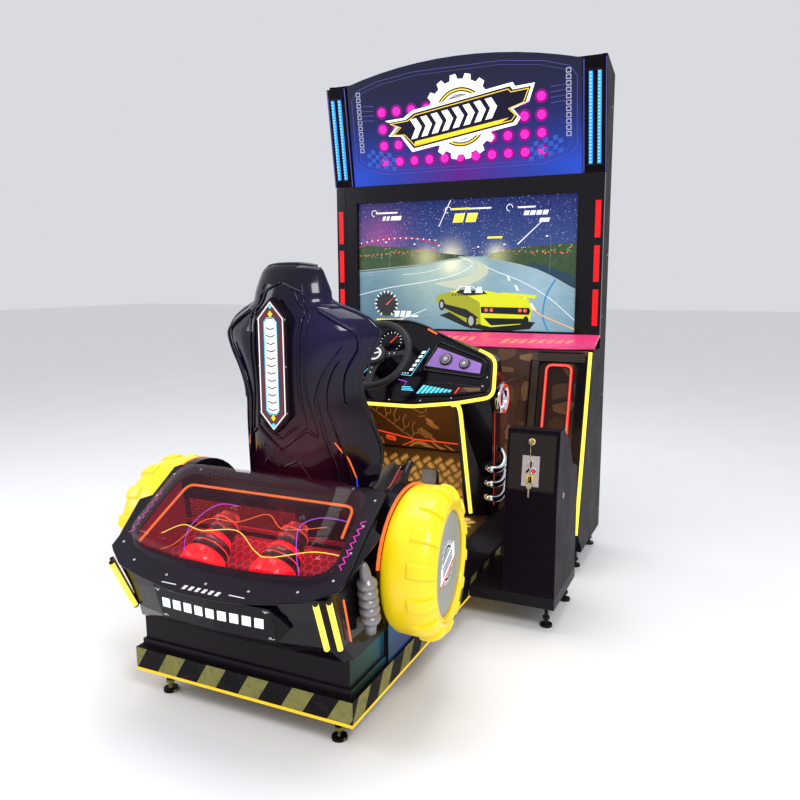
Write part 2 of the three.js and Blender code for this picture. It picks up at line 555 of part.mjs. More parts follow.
// ---- Display cabinet ----
const sidePoly = [[CAB_BACK, 97], [CAB_BACK, 2356], [1925, 2402], [1905, 2400], [MARQUEE_Y, MARQUEE_Z], [1985, LEDGE_TOP],
  [1815, LEDGE_TOP], [1601, 204], [1680, 124], [1680, 97]];
const sidePanel = prism(sidePoly, alongX, CAB_HALF - BOARD, CAB_HALF);
add('side_panel_right', sidePanel, BLACK, 0.3);
add('side_panel_left', mirror(sidePanel), BLACK, 0.3);
const IN = CAB_HALF - BOARD - GAP;
add('lower_panel', prism([[1812, 1044], [1601, 204], [1680, 124], [1694, 134], [1622, 209], [1832, 1044]], alongX, -IN, IN),
  0x4b3026, 0.5);
let ledge = prism([[1812, 1048], [1812, 1060], [1952, 1111], [1984, 1111], [1984, 1097], [1956, 1097], [1836, 1048]],
  alongX, -CAB_HALF, CAB_HALF);
for (const s of [-1, 1]) {
  ledge = ledge.subtract(prism([[s * 560, 1800], [s * 560, 1811], [s * 731, 1866], [s * 740, 1866], [s * 740, 1800]],
    alongZ, 1000, 1200));
}
add('ledge', ledge, 0xd83a78, 0.4);
let bezel = block(-CAB_HALF, CAB_HALF, 1964, 1984.6, 1112, 1884);
bezel = bezel.subtract(block(-605, 605, 1900, 2000, 1120, 1796));
add('screen_bezel', bezel, BLACK, 0.35);
add('monitor', join(block(-640, 640, 1985.2, 2040, 1092, 1832), block(-500, 500, 2036, 2070, 1200, 1700)), 0x20242c, 0.2);

const onMarquee = (x, q, w) => [x, MARQUEE_Y - 0.155 * q - 0.988 * w, MARQUEE_Z + 0.988 * q - 0.155 * w];
const ARC_R = 2461;
const arc = Array.from({ length: 13 }, (_, k) => {
  const x = 620 - (k * 1240) / 12;
  return [x, 593 - ARC_R + Math.sqrt(ARC_R ** 2 - x ** 2)];
});
const roof = prism([[CAB_BACK - 1, 2340], [CAB_BACK - 1, 2355], [1925, 2401], [1914, 2401], [1914, 2384]], alongX, -IN, IN);
const postPoly = [[624, 3], [737, 3], [737, 508], [624, 508]];
const frame = join(
  prism(postPoly, onMarquee, 0.6, 22),
  prism(postPoly.map(([x, q]) => [-x, q]), onMarquee, 0.6, 22),
  prism([[-645, 440], [645, 440], [645, 470], [-645, 470]], onMarquee, -60, 3),
  prism([[-645, 6], [645, 6], [645, 26], [-645, 26]], onMarquee, -60, 3),
  prism([[-650, 4], [650, 4], [650, 503], [-650, 503]], onMarquee, -66, -54),
  roof,
);
add('marquee_frame', frame, BLACK, 0.4);
add('marquee_panel', prism([[-620, 2], [620, 2], ...arc], onMarquee, 4, 11), 0x1a1440, 0.2);

const backY = CAB_BACK - 17;
let backPanel = block(-IN, IN, backY, CAB_BACK - 1, 98, 2337);
backPanel = backPanel.subtract(block(-320, 320, backY - 5, CAB_BACK + 5, 400, 1300));
add('back_panel', backPanel, BLACK, 0.6);
const door = join(
  block(-318.5, 318.5, backY, CAB_BACK - 1, 401.5, 1298.5),
  rod([-280, CAB_BACK - 2, 850], [-280, CAB_BACK + 8, 850], 14, 16),
);
add('service_door', door, 0x1b1a20, 0.6);
let cabFloor = block(-IN, IN, 1700, backY - GAP, 98, 116);
for (const x of [-690, 690]) {
  for (const y of [1747, 2086]) cabFloor = join(cabFloor, foot(x, y, 98));
}
add('cabinet_floor', cabFloor, BLACK, 0.6);

const lowerN = [-846 / 871, 208 / 871];
const onLower = (x, q, w) => [x, 1601 + (q * 211) / 871 + lowerN[0] * w, 204 + (q * 846) / 871 + lowerN[1] * w];
let grille = prism([[437, 60], [700, 60], [708, 68], [708, 838], [690, 856], [476, 856], [437, 812]], onLower, 0.6, 12);
grille = grille.subtract(prism([[480, 110], [668, 110], [668, 790], [650, 806], [500, 806], [480, 786]], onLower, 6, 20));
add('grille_panel', grille, 0x101014, 0.4);

// ---- Coin box ----
const coinOuter = [[993, 145.4], [993, 562], [1030, 810], [1091, 810], [1189, 745], [1261, 636], [1360, 600], [1360, 145.4]];
const coinInner = [[997, 139], [997, 561], [1033, 806], [1090, 806], [1186, 742], [1258, 632], [1356, 597], [1356, 139]];
let coinBox = prism(coinOuter, alongX, 559, 767).subtract(prism(coinInner, alongX, 563, 763));
const lean = Math.atan2(37, 248);
const onCoin = (x, z, d) => [x, 993 + (z - 562) * (37 / 248) - d * Math.cos(lean), z + d * Math.sin(lean)];
const panelRect = (x0, x1, z0, z1, d0, d1) => prism([[x0, z0], [x1, z0], [x1, z1], [x0, z1]], onCoin, d0, d1);
coinBox = coinBox.subtract(panelRect(580, 743, 586, 782, -12, 10));
add('coin_cabinet', coinBox, 0x2a1c34, 0.45, 0.2);
let coinDoor = join(panelRect(573, 750, 578, 789, 0.5, 3.5));
const doorHole = panelRect(636, 684, 602, 700, -10, 10);
const lockAt = (r, d0, d1) => rod(onCoin(660, 764, d0), onCoin(660, 764, d1), r, 20);
coinDoor = coinDoor.subtract(doorHole).subtract(lockAt(9.5, -10, 10));
add('coin_door', coinDoor, 0x2a1c34, 0.45, 0.2);
let mech = join(panelRect(626, 694, 592, 710, 3.9, 9), panelRect(637, 683, 604, 698, -42, 5));
mech = mech.subtract(panelRect(656, 664, 660, 692, -30, 12));
mech = mech.subtract(panelRect(648, 672, 606, 632, -20, 12));
const buttonHole = rod(onCoin(672, 652, -20), onCoin(672, 652, 12), 8.5, 14);
mech = mech.subtract(buttonHole);
add('coin_mech', mech, 0xb9bcc4, 0.3, 0.9);
add('return_button', rod(onCoin(672, 652, -12), onCoin(672, 652, 14), 7.6, 14), 0xc9202c, 0.3);
add('door_lock', join(lockAt(14, 4, 9), lockAt(9, -16, 6), panelRect(655, 665, 738, 768, -20, -14)), 0xc8a04a, 0.3, 0.9);
let coinBase = block(415.8, 767, 993, 1367, 100, 145);
coinBase = coinBase.subtract(block(430, 753, 1007, 1353, 99, 131));
for (const [x, y] of [[721, 1062], [732, 1338]]) {
  coinBase = join(coinBase, block(x - 22, x + 21, y - 22, y + 22, 100, 140), foot(x, y, 100));
}
add('coin_base', coinBase, BLACK, 0.4, 0.4);

// ---- Move the whole cabinet so the floor under its middle is the origin ----
let low = [Infinity, Infinity, Infinity];
let high = [-Infinity, -Infinity, -Infinity];
for (const { part } of built) {
  const box = part.boundingBox();
  low = low.map((v, i) => Math.min(v, box.min[i]));
  high = high.map((v, i) => Math.max(v, box.max[i]));
}
const origin = [-(low[0] + high[0]) / 2, -(low[1] + high[1]) / 2, -low[2]];
for (const { name, part, color, roughness, metalness } of built) {
  const mesh = part.translate(origin).getMesh();
  const geometry = new THREE.BufferGeometry();
  geometry.setAttribute('position', new THREE.BufferAttribute(new Float32Array(mesh.vertProperties), 3));
  geometry.setIndex(new THREE.BufferAttribute(new Uint32Array(mesh.triVerts), 1));
  geometry.computeVertexNormals();
  const body = new THREE.Mesh(geometry, new THREE.MeshStandardMaterial({ color, roughness, metalness }));
  body.name = name;
  group.add(body);
}

export default group;
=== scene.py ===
import random
from math import atan2, cos, exp, hypot, pi, radians, sin, sqrt

import bmesh
import bpy
from mathutils import Matrix, Vector, bvhtree, kdtree


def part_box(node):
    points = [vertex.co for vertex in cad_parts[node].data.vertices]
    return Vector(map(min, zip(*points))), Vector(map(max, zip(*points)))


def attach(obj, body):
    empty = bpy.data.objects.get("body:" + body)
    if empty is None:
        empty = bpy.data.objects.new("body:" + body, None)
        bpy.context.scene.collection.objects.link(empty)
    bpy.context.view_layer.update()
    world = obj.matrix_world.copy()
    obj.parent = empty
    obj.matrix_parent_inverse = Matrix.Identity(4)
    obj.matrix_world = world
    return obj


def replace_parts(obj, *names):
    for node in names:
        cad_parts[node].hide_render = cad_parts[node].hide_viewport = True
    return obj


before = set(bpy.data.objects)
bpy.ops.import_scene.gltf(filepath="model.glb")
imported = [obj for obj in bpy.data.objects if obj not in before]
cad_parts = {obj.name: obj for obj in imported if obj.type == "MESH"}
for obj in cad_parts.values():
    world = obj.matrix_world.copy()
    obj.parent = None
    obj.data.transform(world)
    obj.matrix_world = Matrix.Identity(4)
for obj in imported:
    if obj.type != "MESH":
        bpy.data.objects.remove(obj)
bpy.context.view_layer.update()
scene = bpy.context.scene
scene.view_settings.view_transform = "Standard"

# ---------------------------------------------------------------- places, in millimetres
base_low, base_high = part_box("base_platform")
OX = (base_low.x + base_high.x) / 2
OY = base_low.y
SIDES = ((-1, "l"), (1, "r"))
BOTH = ((1, "right"), (-1, "left"))
SLOPE = atan2(198, 308)              # engine deck
DECK_Y, DECK_Z = -63, 544            # its rear edge
WHEEL_Y, WHEEL_Z = 361, 496          # road wheel centre
DASH_Y, DASH_Z, DASH_LEAN = 1010, 935, 0.65
DASH_NORM = hypot(1, DASH_LEAN)
TILT = atan2(92, 128)                # steering column
HUB_Y, HUB_Z = 983, 1082             # steering wheel centre
COIN_Y, COIN_Z, COIN_RUN, COIN_RISE = 993, 562, 37, 248
LEAN = atan2(COIN_RUN, COIN_RISE)    # face of the coin box
PANEL_Y, TRIM_Y = 1985, 1964         # planes of the picture and of the frame round it
BACK_Y = 2127                        # rear of the display cabinet
FLOOR_Z = 350                        # footwell floor
MARQ_Y, MARQ_Z, MARQ_COS, MARQ_SIN = 1985, 1885, 0.988, 0.155
LOWER_COS, LOWER_SIN = 846 / 871, 211 / 871


def D(x, y, z):
    """Millimetres from the base's rear edge, centre line and floor, to the frame in metres."""
    return Vector((OX + x / 1000, OY + y / 1000, z / 1000))


# Each face has its own axes: across, up the face, and out of it.
def deck(u, v, w):
    return D(u, DECK_Y + v * cos(SLOPE) - w * sin(SLOPE), DECK_Z + v * sin(SLOPE) + w * cos(SLOPE))


def dash(x, z, d=0):
    y = DASH_Y + (z - DASH_Z) * DASH_LEAN
    return D(x, y - d / DASH_NORM, z + d * DASH_LEAN / DASH_NORM)


def marq(x, q, w):
    return D(x, MARQ_Y - MARQ_SIN * q - MARQ_COS * w, MARQ_Z + MARQ_COS * q - MARQ_SIN * w)


def lower(x, q, w):
    return D(x, 1601 + q * LOWER_SIN - LOWER_COS * w, 204 + q * LOWER_COS + LOWER_SIN * w)


def coin(x, z, d):
    return D(x, COIN_Y + (z - COIN_Z) * (COIN_RUN / COIN_RISE) - d * cos(LEAN), z + d * sin(LEAN))


def steer(d, u=0, v=0):
    c, s = cos(TILT), sin(TILT)
    return D(u, HUB_Y - c * d + s * v, HUB_Z + s * d + c * v)


# ---------------------------------------------------------------- material nodes
def tree(name):
    m = bpy.data.materials.new(name)
    m.use_nodes = True
    nt = m.node_tree
    return m, nt, nt.nodes["Principled BSDF"]


def node(nt, kind, vector=None, **kw):
    n = nt.nodes.new(kind)
    for k, v in kw.items():
        if k in n.inputs:
            n.inputs[k].default_value = v
        else:
            setattr(n, k, v)
    if vector:
        nt.links.new(vector, n.inputs["Vector"])
    return n


def noise(nt, where, scale, detail, rough=0.5):
    return node(nt, "ShaderNodeTexNoise", where, Scale=scale, Detail=detail, Roughness=rough).outputs["Fac"]


def feed(nt, socket, value):
    """Links a socket to another, or sets it to a number or colour."""
    if isinstance(value, bpy.types.NodeSocket):
        nt.links.new(value, socket)
    else:
        socket.default_value = (*value, 1) if isinstance(value, (tuple, list)) else value


def mixer(nt, fac, a, b):
    m = node(nt, "ShaderNodeMix", data_type="RGBA")
    for k, v in ((0, fac), (6, a), (7, b)):
        feed(nt, m.inputs[k], v)
    return m.outputs[2]


def calc(nt, op, *values):
    m = node(nt, "ShaderNodeMath", operation=op)
    for i, v in enumerate(values):
        feed(nt, m.inputs[i], v)
    return m.outputs[0]


def mul(nt, a, b):
    return calc(nt, "MULTIPLY", a, b)


def clamp(nt, v, low=0.0):
    return calc(nt, "MINIMUM", calc(nt, "MAXIMUM", v, low), 1.0)


def ramp(nt, v, start, span, low=0.0):
    """Rises to 1 while v goes from start over span."""
    return clamp(nt, calc(nt, "DIVIDE", calc(nt, "SUBTRACT", v, start), span), low)


def bell(nt, v, k=-1.0):
    """1 where v is 0, falling off softly on both sides."""
    return calc(nt, "POWER", 2.718, mul(nt, mul(nt, v, v), k))


def size_of(nt, v):
    return calc(nt, "ABSOLUTE", v)


def split(nt, vector):
    s = nt.nodes.new("ShaderNodeSeparateXYZ")
    nt.links.new(vector, s.inputs[0])
    return s.outputs


def facing(nt):
    return split(nt, nt.nodes.new("ShaderNodeNewGeometry").outputs["Normal"])


def coords(nt):
    obj = nt.nodes.new("ShaderNodeTexCoord").outputs["Object"]
    return obj, split(nt, obj)


def glows(nt, obj, base, place, spots):
    """Soft pools of light: where, how wide, how strong, and their colour."""
    for at, size, k, col in spots:
        v = node(nt, "ShaderNodeVectorMath", operation="DISTANCE")
        nt.links.new(obj, v.inputs[0])
        v.inputs[1].default_value = place(*at)
        far = calc(nt, "DIVIDE", v.outputs["Value"], size)
        base = mixer(nt, mul(nt, bell(nt, far), k), base, col)
    return base


def surface(name, col, rough=0.4, metal=0.0, coat=0.0, bump=0.0, grain=300.0, var=0.1, scale=9.0, sheen=0.0,
            pattern=None, glow=None, power=0.0, wear=0.0, spec=0.5, stretch=None):
    """A material with colour variation, uneven gloss and fine relief; pattern may repaint the colour."""
    m, nt, p = tree(name)
    obj, xyz = coords(nt)
    where = node(nt, "ShaderNodeMapping", obj, Scale=stretch).outputs[0] if stretch else obj
    big = noise(nt, where, scale, 4.0)
    fine = noise(nt, where, grain, 3.0)
    dark = tuple(c * (1 - var) for c in col)
    light = tuple(min(1, c * (1 + var) + 0.0008) for c in col)
    colour = mixer(nt, big, dark, light)
    if pattern:
        colour = pattern(nt, obj, xyz, colour)
    if wear:
        dot = node(nt, "ShaderNodeVectorMath", operation="DOT_PRODUCT")
        nt.links.new(node(nt, "ShaderNodeBevel", Radius=0.003).outputs[0], dot.inputs[0])
        nt.links.new(nt.nodes.new("ShaderNodeNewGeometry").outputs["Normal"], dot.inputs[1])
        edge = mul(nt, calc(nt, "SUBTRACT", 1.0, dot.outputs["Value"]), 6.0)
        edge = mul(nt, calc(nt, "MINIMUM", edge, 1.0), mul(nt, fine, wear))
        colour = mixer(nt, edge, colour, tuple(min(1, c * 1.6 + 0.12) for c in col))
    nt.links.new(colour, p.inputs["Base Color"])
    gloss = node(nt, "ShaderNodeMapRange")
    gloss.inputs["To Min"].default_value = max(0.02, rough * 0.8)
    gloss.inputs["To Max"].default_value = min(1, rough * 1.3 + 0.02)
    nt.links.new(big, gloss.inputs[0])
    nt.links.new(gloss.outputs[0], p.inputs["Roughness"])
    for socket, value in (("Metallic", metal), ("Coat Weight", coat), ("Coat Roughness", 0.06),
        ("Sheen Weight", sheen), ("Specular IOR Level", spec)):
        p.inputs[socket].default_value = value
    if bump:
        b = node(nt, "ShaderNodeBump", Strength=bump, Distance=0.0006)
        nt.links.new(fine, b.inputs["Height"])
        nt.links.new(b.outputs[0], p.inputs["Normal"])
    if glow:
        lit = colour if pattern else mixer(nt, big, tuple(c * 0.9 for c in glow), glow)
        nt.links.new(lit, p.inputs["Emission Color"])
        p.inputs["Emission Strength"].default_value = power
    return m


def lamp(name, col, power, core):
    """Lit diffuser: a pale core colour mottled with a deeper one."""
    m, nt, p = tree(name)
    c = mixer(nt, mul(nt, noise(nt, coords(nt)[0], 60.0, 2.0), 0.6), core, col)
    nt.links.new(c, p.inputs["Emission Color"])
    nt.links.new(mixer(nt, 0.75, c, (0.0, 0.0, 0.0)), p.inputs["Base Color"])
    for socket, value in (("Emission Strength", power), ("Roughness", 0.45), ("Specular IOR Level", 0.2)):
        p.inputs[socket].default_value = value
    return m


def acrylic(name, tint, alpha):
    """Clear tinted moulding, denser where it is seen edge on."""
    m, nt, p = tree(name)
    c = mixer(nt, noise(nt, coords(nt)[0], 5.0, 2.0), tuple(t * 0.9 for t in tint), tint)
    nt.links.new(c, p.inputs["Base Color"])
    edge_on = node(nt, "ShaderNodeLayerWeight", Blend=0.25).outputs["Facing"]
    nt.links.new(calc(nt, "ADD", alpha, mul(nt, edge_on, 0.28)), p.inputs["Alpha"])
    for socket, value in (("Roughness", 0.03), ("Coat Weight", 1.0), ("Coat Roughness", 0.02)):
        p.inputs[socket].default_value = value
    return m


# ---------------------------------------------------------------- patterns
def hazard(nt, obj, xyz, colour):
    """Leaning dark and dusty stripes round the upright sides of the base."""
    width, start = 0.163, 0.387
    n = facing(nt)
    along = calc(nt, "ADD", mul(nt, xyz[0], size_of(nt, n[1])), mul(nt, xyz[1], size_of(nt, n[0])))
    lean = calc(nt, "SUBTRACT", along, mul(nt, xyz[2], 0.62))
    t = calc(nt, "FRACT", calc(nt, "DIVIDE", calc(nt, "ADD", lean, 3.0 * width + start - float(OX)), width))
    stripe = calc(nt, "LESS_THAN", t, 0.47)
    spots = calc(nt, "GREATER_THAN", noise(nt, obj, 38.0, 8.0, 0.7), 0.56)
    dusty = mixer(nt, mul(nt, spots, 0.5), colour, (0.11, 0.11, 0.05))
    black = mixer(nt, mul(nt, spots, 0.2), (0.004, 0.0025, 0.004), (0.035, 0.035, 0.02))
    side = calc(nt, "LESS_THAN", size_of(nt, n[2]), 0.5)
    return mixer(nt, mul(nt, stripe, side), black, dusty)


def polygons(nt, obj, xyz, colour):
    """Scattered tan stones with dark joints, on faces that don't look forward."""
    gap = node(nt, "ShaderNodeTexVoronoi", obj, Scale=11.0, Randomness=0.75, feature="DISTANCE_TO_EDGE")
    cell = node(nt, "ShaderNodeTexVoronoi", obj, Scale=11.0, Randomness=0.75)
    chance = nt.nodes.new("ShaderNodeSeparateColor")
    nt.links.new(cell.outputs["Color"], chance.inputs[0])
    inside = calc(nt, "GREATER_THAN", gap.outputs["Distance"], 0.11)
    pick = calc(nt, "GREATER_THAN", chance.outputs[0], 0.45)
    mask = mul(nt, mul(nt, inside, pick), mul(nt, chance.outputs[1], 0.9))
    mask = mul(nt, mask, calc(nt, "LESS_THAN", facing(nt)[1], 0.3))
    return mixer(nt, mask, colour, (0.24, 0.13, 0.06))


def dim_polygons(nt, obj, xyz, colour):
    return mixer(nt, 0.62, polygons(nt, obj, xyz, colour), (0.012, 0.006, 0.005))


def seat_painted_light(nt, obj, xyz, colour):
    """Violet and red light from the cabinet and the bay, caught by the back of the seat."""
    return glows(nt, obj, colour, D, (((190, 330, 1240), 0.15, 0.5, (0.008, 0.005, 0.060)),
        ((-190, 330, 1160), 0.18, 0.25, (0.006, 0.003, 0.03)),
        ((60, 330, 850), 0.12, 0.5, (0.075, 0.001, 0.010)), ((-60, 330, 640), 0.17, 0.4, (0.04, 0.001, 0.006))))


def cheek_print(nt, obj, xyz, colour):
    """Stone print on the forward part of the cheeks' outsides."""
    brown = (0.055, 0.03, 0.02)
    pic = polygons(nt, obj, xyz, mixer(nt, 0.0, brown, brown))
    past = calc(nt, "GREATER_THAN", xyz[1], float(OY + 1.385))
    wide = calc(nt, "GREATER_THAN", size_of(nt, calc(nt, "SUBTRACT", xyz[0], float(OX))), 0.40)
    return mixer(nt, mul(nt, past, wide), colour, pic)


def side_glow(nt, obj, xyz, colour):
    """Colour-changing light from under the wheel, spilling along the side of the plinth."""
    side = calc(nt, "GREATER_THAN", size_of(nt, facing(nt)[0]), 0.45)
    y = calc(nt, "SUBTRACT", xyz[1], float(OY))
    blue = mixer(nt, ramp(nt, y, 0.16, 0.22), (0.0, 0.11, 0.06), (0.004, 0.06, 0.34))
    tint = mixer(nt, ramp(nt, y, 0.42, 0.2), blue, (0.07, 0.01, 0.2))
    fall = bell(nt, calc(nt, "DIVIDE", calc(nt, "SUBTRACT", y, 0.36), 0.34), -1.6)
    high = ramp(nt, xyz[2], 0.17, 0.16, 0.25)
    return mixer(nt, mul(nt, mul(nt, side, fall), high), colour, tint)


def marquee_glow(nt, obj, xyz, colour):
    """Navy print lit from behind: violet round the middle, blue at the lower corners, dark at the top."""
    out = size_of(nt, calc(nt, "SUBTRACT", xyz[0], float(OX)))
    high = ramp(nt, xyz[2], 1.95, 0.45)
    mid = calc(nt, "SUBTRACT", 1.0, calc(nt, "MINIMUM", calc(nt, "DIVIDE", out, 0.5), 1.0))
    low = calc(nt, "SUBTRACT", 1.0, high)
    violet = mixer(nt, mul(nt, mid, low), (0.004, 0.006, 0.045), (0.06, 0.006, 0.14))
    edge = mul(nt, mul(nt, low, low), calc(nt, "MINIMUM", calc(nt, "DIVIDE", out, 0.6), 1.0))
    return mixer(nt, mul(nt, high, 0.85), mixer(nt, edge, violet, (0.01, 0.04, 0.32)), (0.004, 0.005, 0.014))


# ---------------------------------------------------------------- materials
M = {"platform": surface("platform_print", (0.22, 0.205, 0.06), 0.55, bump=0.15, grain=260, pattern=hazard,
    var=0.25, scale=30, spec=0.12), "black": surface("satin_black_board", (0.004, 0.0026, 0.0045), 0.4,
    bump=0.08, grain=500, wear=0.2, spec=0.05),
    "gloss": surface("gloss_black_moulding", (0.003, 0.0018, 0.004), 0.14, coat=0.2, bump=0.02, grain=90,
    # the seat shell emits its own colour, so the painted violet and red light on its back glows
    var=0.3, spec=0.15), "shell": surface("seat_gloss_black", (0.003, 0.0016, 0.0055), 0.12, pattern=seat_painted_light,
    glow=(0.1, 0.1, 0.1), power=0.3, coat=0.26, bump=0.02, grain=60, var=0.4, spec=0.15),
    "deck": surface("deck_plum_black", (0.006, 0.003, 0.009), 0.16, coat=0.24, bump=0.02, grain=150, var=0.3,
    # the bay's dark red board and its honeycomb lines glow: painted red light of the bay, on parts that are no lamp
    spec=0.15), "honey": surface("bay_dark_red", (0.16, 0.004, 0.014), 0.42, bump=0.1, grain=200,
    glow=(0.45, 0.0, 0.02), power=0.22, spec=0.2),
    "honeyline": surface("bay_line_red", (0.45, 0.02, 0.05), 0.4, glow=(0.8, 0.03, 0.06), power=0.35),
    # the red props glow: painted red light on a part that is no lamp
    "prop": surface("prop_red", (0.85, 0.008, 0.012), 0.25, coat=0.25, glow=(1.0, 0.0, 0.012), power=0.75,
    var=0.2, spec=0.3), "propdark": surface("prop_dark", (0.02, 0.003, 0.006), 0.25, coat=0.5, metal=0.3),
    "plate": surface("dark_plate", (0.006, 0.0035, 0.006), 0.25, coat=0.04, bump=0.05, grain=400, wear=0.2,
    spec=0.1), "yellow": surface("moulded_yellow", (0.90, 0.66, 0.003), 0.32, coat=0.25, bump=0.06, grain=120,
    var=0.08, glow=(0.95, 0.66, 0.0), power=0.16),
    "disc": surface("disc_grey", (0.36, 0.38, 0.33), 0.42, bump=0.06, grain=300, var=0.2, scale=4),
    "pipe": surface("pipe_grey", (0.24, 0.225, 0.24), 0.3, metal=0.35, coat=0.3, bump=0.08, grain=90, wear=0.4),
    "vinyl": surface("seat_vinyl", (0.012, 0.011, 0.014), 0.5, bump=0.5, grain=700, sheen=0.1, var=0.2,
    spec=0.3), "stitch": surface("stitch_thread", (0.55, 0.06, 0.08), 0.7, bump=0.3, grain=900),
    "steel": surface("zinc_steel", (0.55, 0.56, 0.58), 0.3, metal=0.95, bump=0.1, grain=200,
    stretch=(1, 12, 1)), "frame": surface("painted_steel", (0.007, 0.006, 0.008), 0.4, metal=0.1, bump=0.15,
    grain=700, wear=0.4, spec=0.15), "chequer": surface("chequer_plate", (0.05, 0.028, 0.012), 0.4, metal=0.4,
    bump=0.15, grain=240, var=0.35, scale=7),
    "brown": surface("brown_print", (0.05, 0.022, 0.013), 0.5, coat=0.05, bump=0.05, grain=300,
    pattern=polygons, var=0.25, spec=0.2), "kick": surface("kick_print", (0.06, 0.028, 0.014), 0.5, coat=0.05,
    bump=0.05, grain=300, var=0.3, spec=0.2),
    "tan": surface("tan_print", (0.42, 0.24, 0.12), 0.6, bump=0.08, grain=60, var=0.3, scale=40),
    "redline": surface("red_line_print", (0.75, 0.06, 0.03), 0.5, glow=(0.9, 0.08, 0.03), power=0.5),
    "cheek": surface("cheek_black", (0.004, 0.0025, 0.004), 0.2, coat=0.18, bump=0.02, grain=90,
    pattern=cheek_print, var=0.3, spec=0.15),
    "grip": surface("grip_black", (0.008, 0.008, 0.010), 0.45, bump=0.4, grain=600, sheen=0.05, spec=0.3),
    "purple": surface("purple_panel", (0.26, 0.13, 0.45), 0.35, coat=0.15, bump=0.1, grain=600, var=0.12),
    "button": surface("button_pale", (0.2, 0.17, 0.22), 0.25, coat=0.5, bump=0.05, grain=100,
    glow=(0.5, 0.45, 0.5), power=0.12), "chrome": surface("chrome", (0.72, 0.74, 0.78), 0.1, metal=1.0,
    bump=0.02, grain=60, var=0.08), "pink": surface("ledge_pink", (0.55, 0.03, 0.14), 0.32, coat=0.3, var=0.25,
    scale=5, glow=(0.8, 0.05, 0.2), power=0.35),
    "pinkbar": surface("ledge_bars", (0.9, 0.16, 0.12), 0.4, glow=(1.0, 0.14, 0.1), power=0.7),
    "screen": surface("screen_base", (0.003, 0.004, 0.01), 0.12, coat=0.2, glow=(0.01, 0.015, 0.06), power=0.4,
    spec=0.2), "coin": surface("coin_plum", (0.0055, 0.002, 0.006), 0.42, bump=0.2, grain=900, wear=0.3,
    spec=0.06), "coindoor": surface("coin_door_grey", (0.019, 0.014, 0.014), 0.42, coat=0.02, bump=0.2,
    grain=900, wear=0.3, spec=0.14), "brass": surface("lock_brass", (0.75, 0.52, 0.18), 0.22, metal=1.0,
    bump=0.08, grain=200), "redplastic": surface("button_red", (0.7, 0.03, 0.05), 0.25, coat=0.5,
    glow=(0.6, 0.01, 0.02), power=0.1), "rubber": surface("rubber_black", (0.006, 0.006, 0.006), 0.7, bump=0.3,
    grain=400, spec=0.15), "maroon": surface("maroon_plate", (0.10, 0.01, 0.022), 0.3, coat=0.5, var=0.2),
    "white": surface("white_print", (0.6, 0.62, 0.66), 0.4, glow=(0.86, 0.93, 1.0), power=0.75, var=0.05),
    "whitedim": surface("white_line", (0.62, 0.62, 0.62), 0.4, glow=(0.7, 0.7, 0.7), power=0.15),
    "screw": surface("screw_steel", (0.5, 0.5, 0.52), 0.25, metal=1.0),
    "L_yellow": lamp("led_yellow", (1.0, 0.60, 0.0), 1.35, (1.0, 0.86, 0.14)),
    "L_base": lamp("led_base", (1.0, 0.50, 0.0), 0.95, (1.0, 0.66, 0.03)),
    "L_orange": lamp("led_orange", (1.0, 0.09, 0.01), 1.0, (1.0, 0.22, 0.04)),
    "L_red": lamp("led_red", (1.0, 0.012, 0.01), 1.0, (1.0, 0.08, 0.05)),
    "L_blue": lamp("led_blue", (0.0, 0.12, 1.0), 1.1, (0.05, 0.42, 1.0)),
    "L_cyan": lamp("led_cyan", (0.02, 0.50, 0.95), 1.0, (0.16, 0.85, 1.0)),
    "L_magenta": lamp("led_magenta", (0.75, 0.0, 0.42), 0.95, (1.0, 0.03, 0.6)),
    "L_purple": lamp("led_purple", (0.35, 0.02, 0.9), 0.8, (0.6, 0.12, 1.0)),
    "L_deepblue": lamp("led_deep_blue", (0.01, 0.03, 0.8), 0.8, (0.04, 0.1, 1.0)),
    "L_green": lamp("led_green", (0.0, 0.5, 0.22), 0.7, (0.05, 0.8, 0.45)),
    "plinth": surface("plinth_black", (0.004, 0.0025, 0.004), 0.28, coat=0.06, bump=0.05, grain=400, spec=0.08,
    pattern=side_glow, glow=(0.2, 0.2, 0.2), power=0.8),
    "mech": surface("mech_silver", (0.5, 0.46, 0.5), 0.32, metal=0.45, bump=0.1, grain=300, stretch=(1, 1, 14)),
    "browndim": surface("brown_dim_print", (0.03, 0.014, 0.010), 0.5, bump=0.05, grain=300,
    pattern=dim_polygons, var=0.25, spec=0.15),
    # the floor lugs' golden colour and glow are a painted highlight: the cockpit's orange light caught on steel
    # lugs
    "lug": surface("lug_steel_painted_highlight", (0.98, 0.72, 0.36), 0.3, metal=0.2, glow=(0.8, 0.45, 0.12), power=0.12,
    bump=0.1, grain=200), "button_dark": surface("button_ring", (0.01, 0.01, 0.012), 0.25, coat=0.3, spec=0.3),
    "L_red_deep": lamp("led_red_deep", (0.75, 0.0, 0.008), 0.85, (0.95, 0.015, 0.02)),
    "marq": surface("marquee_navy", (0.004, 0.004, 0.02), 0.15, coat=0.3, pattern=marquee_glow,
    glow=(0.02, 0.015, 0.12), power=0.9, var=0.4, scale=5, spec=0.2),
    "L_bead": lamp("led_bead", (0.05, 0.42, 1.0), 1.05, (0.3, 0.8, 1.0)),
    "L_red_pale": lamp("led_red_pale", (1.0, 0.12, 0.08), 1.0, (1.0, 0.35, 0.22)),
    "grille_back": surface("grille_back", (0.07, 0.045, 0.035), 0.6, spec=0.2, var=0.3),
    "dome": acrylic("dome_acrylic", (0.07, 0.003, 0.014), 0.07), }
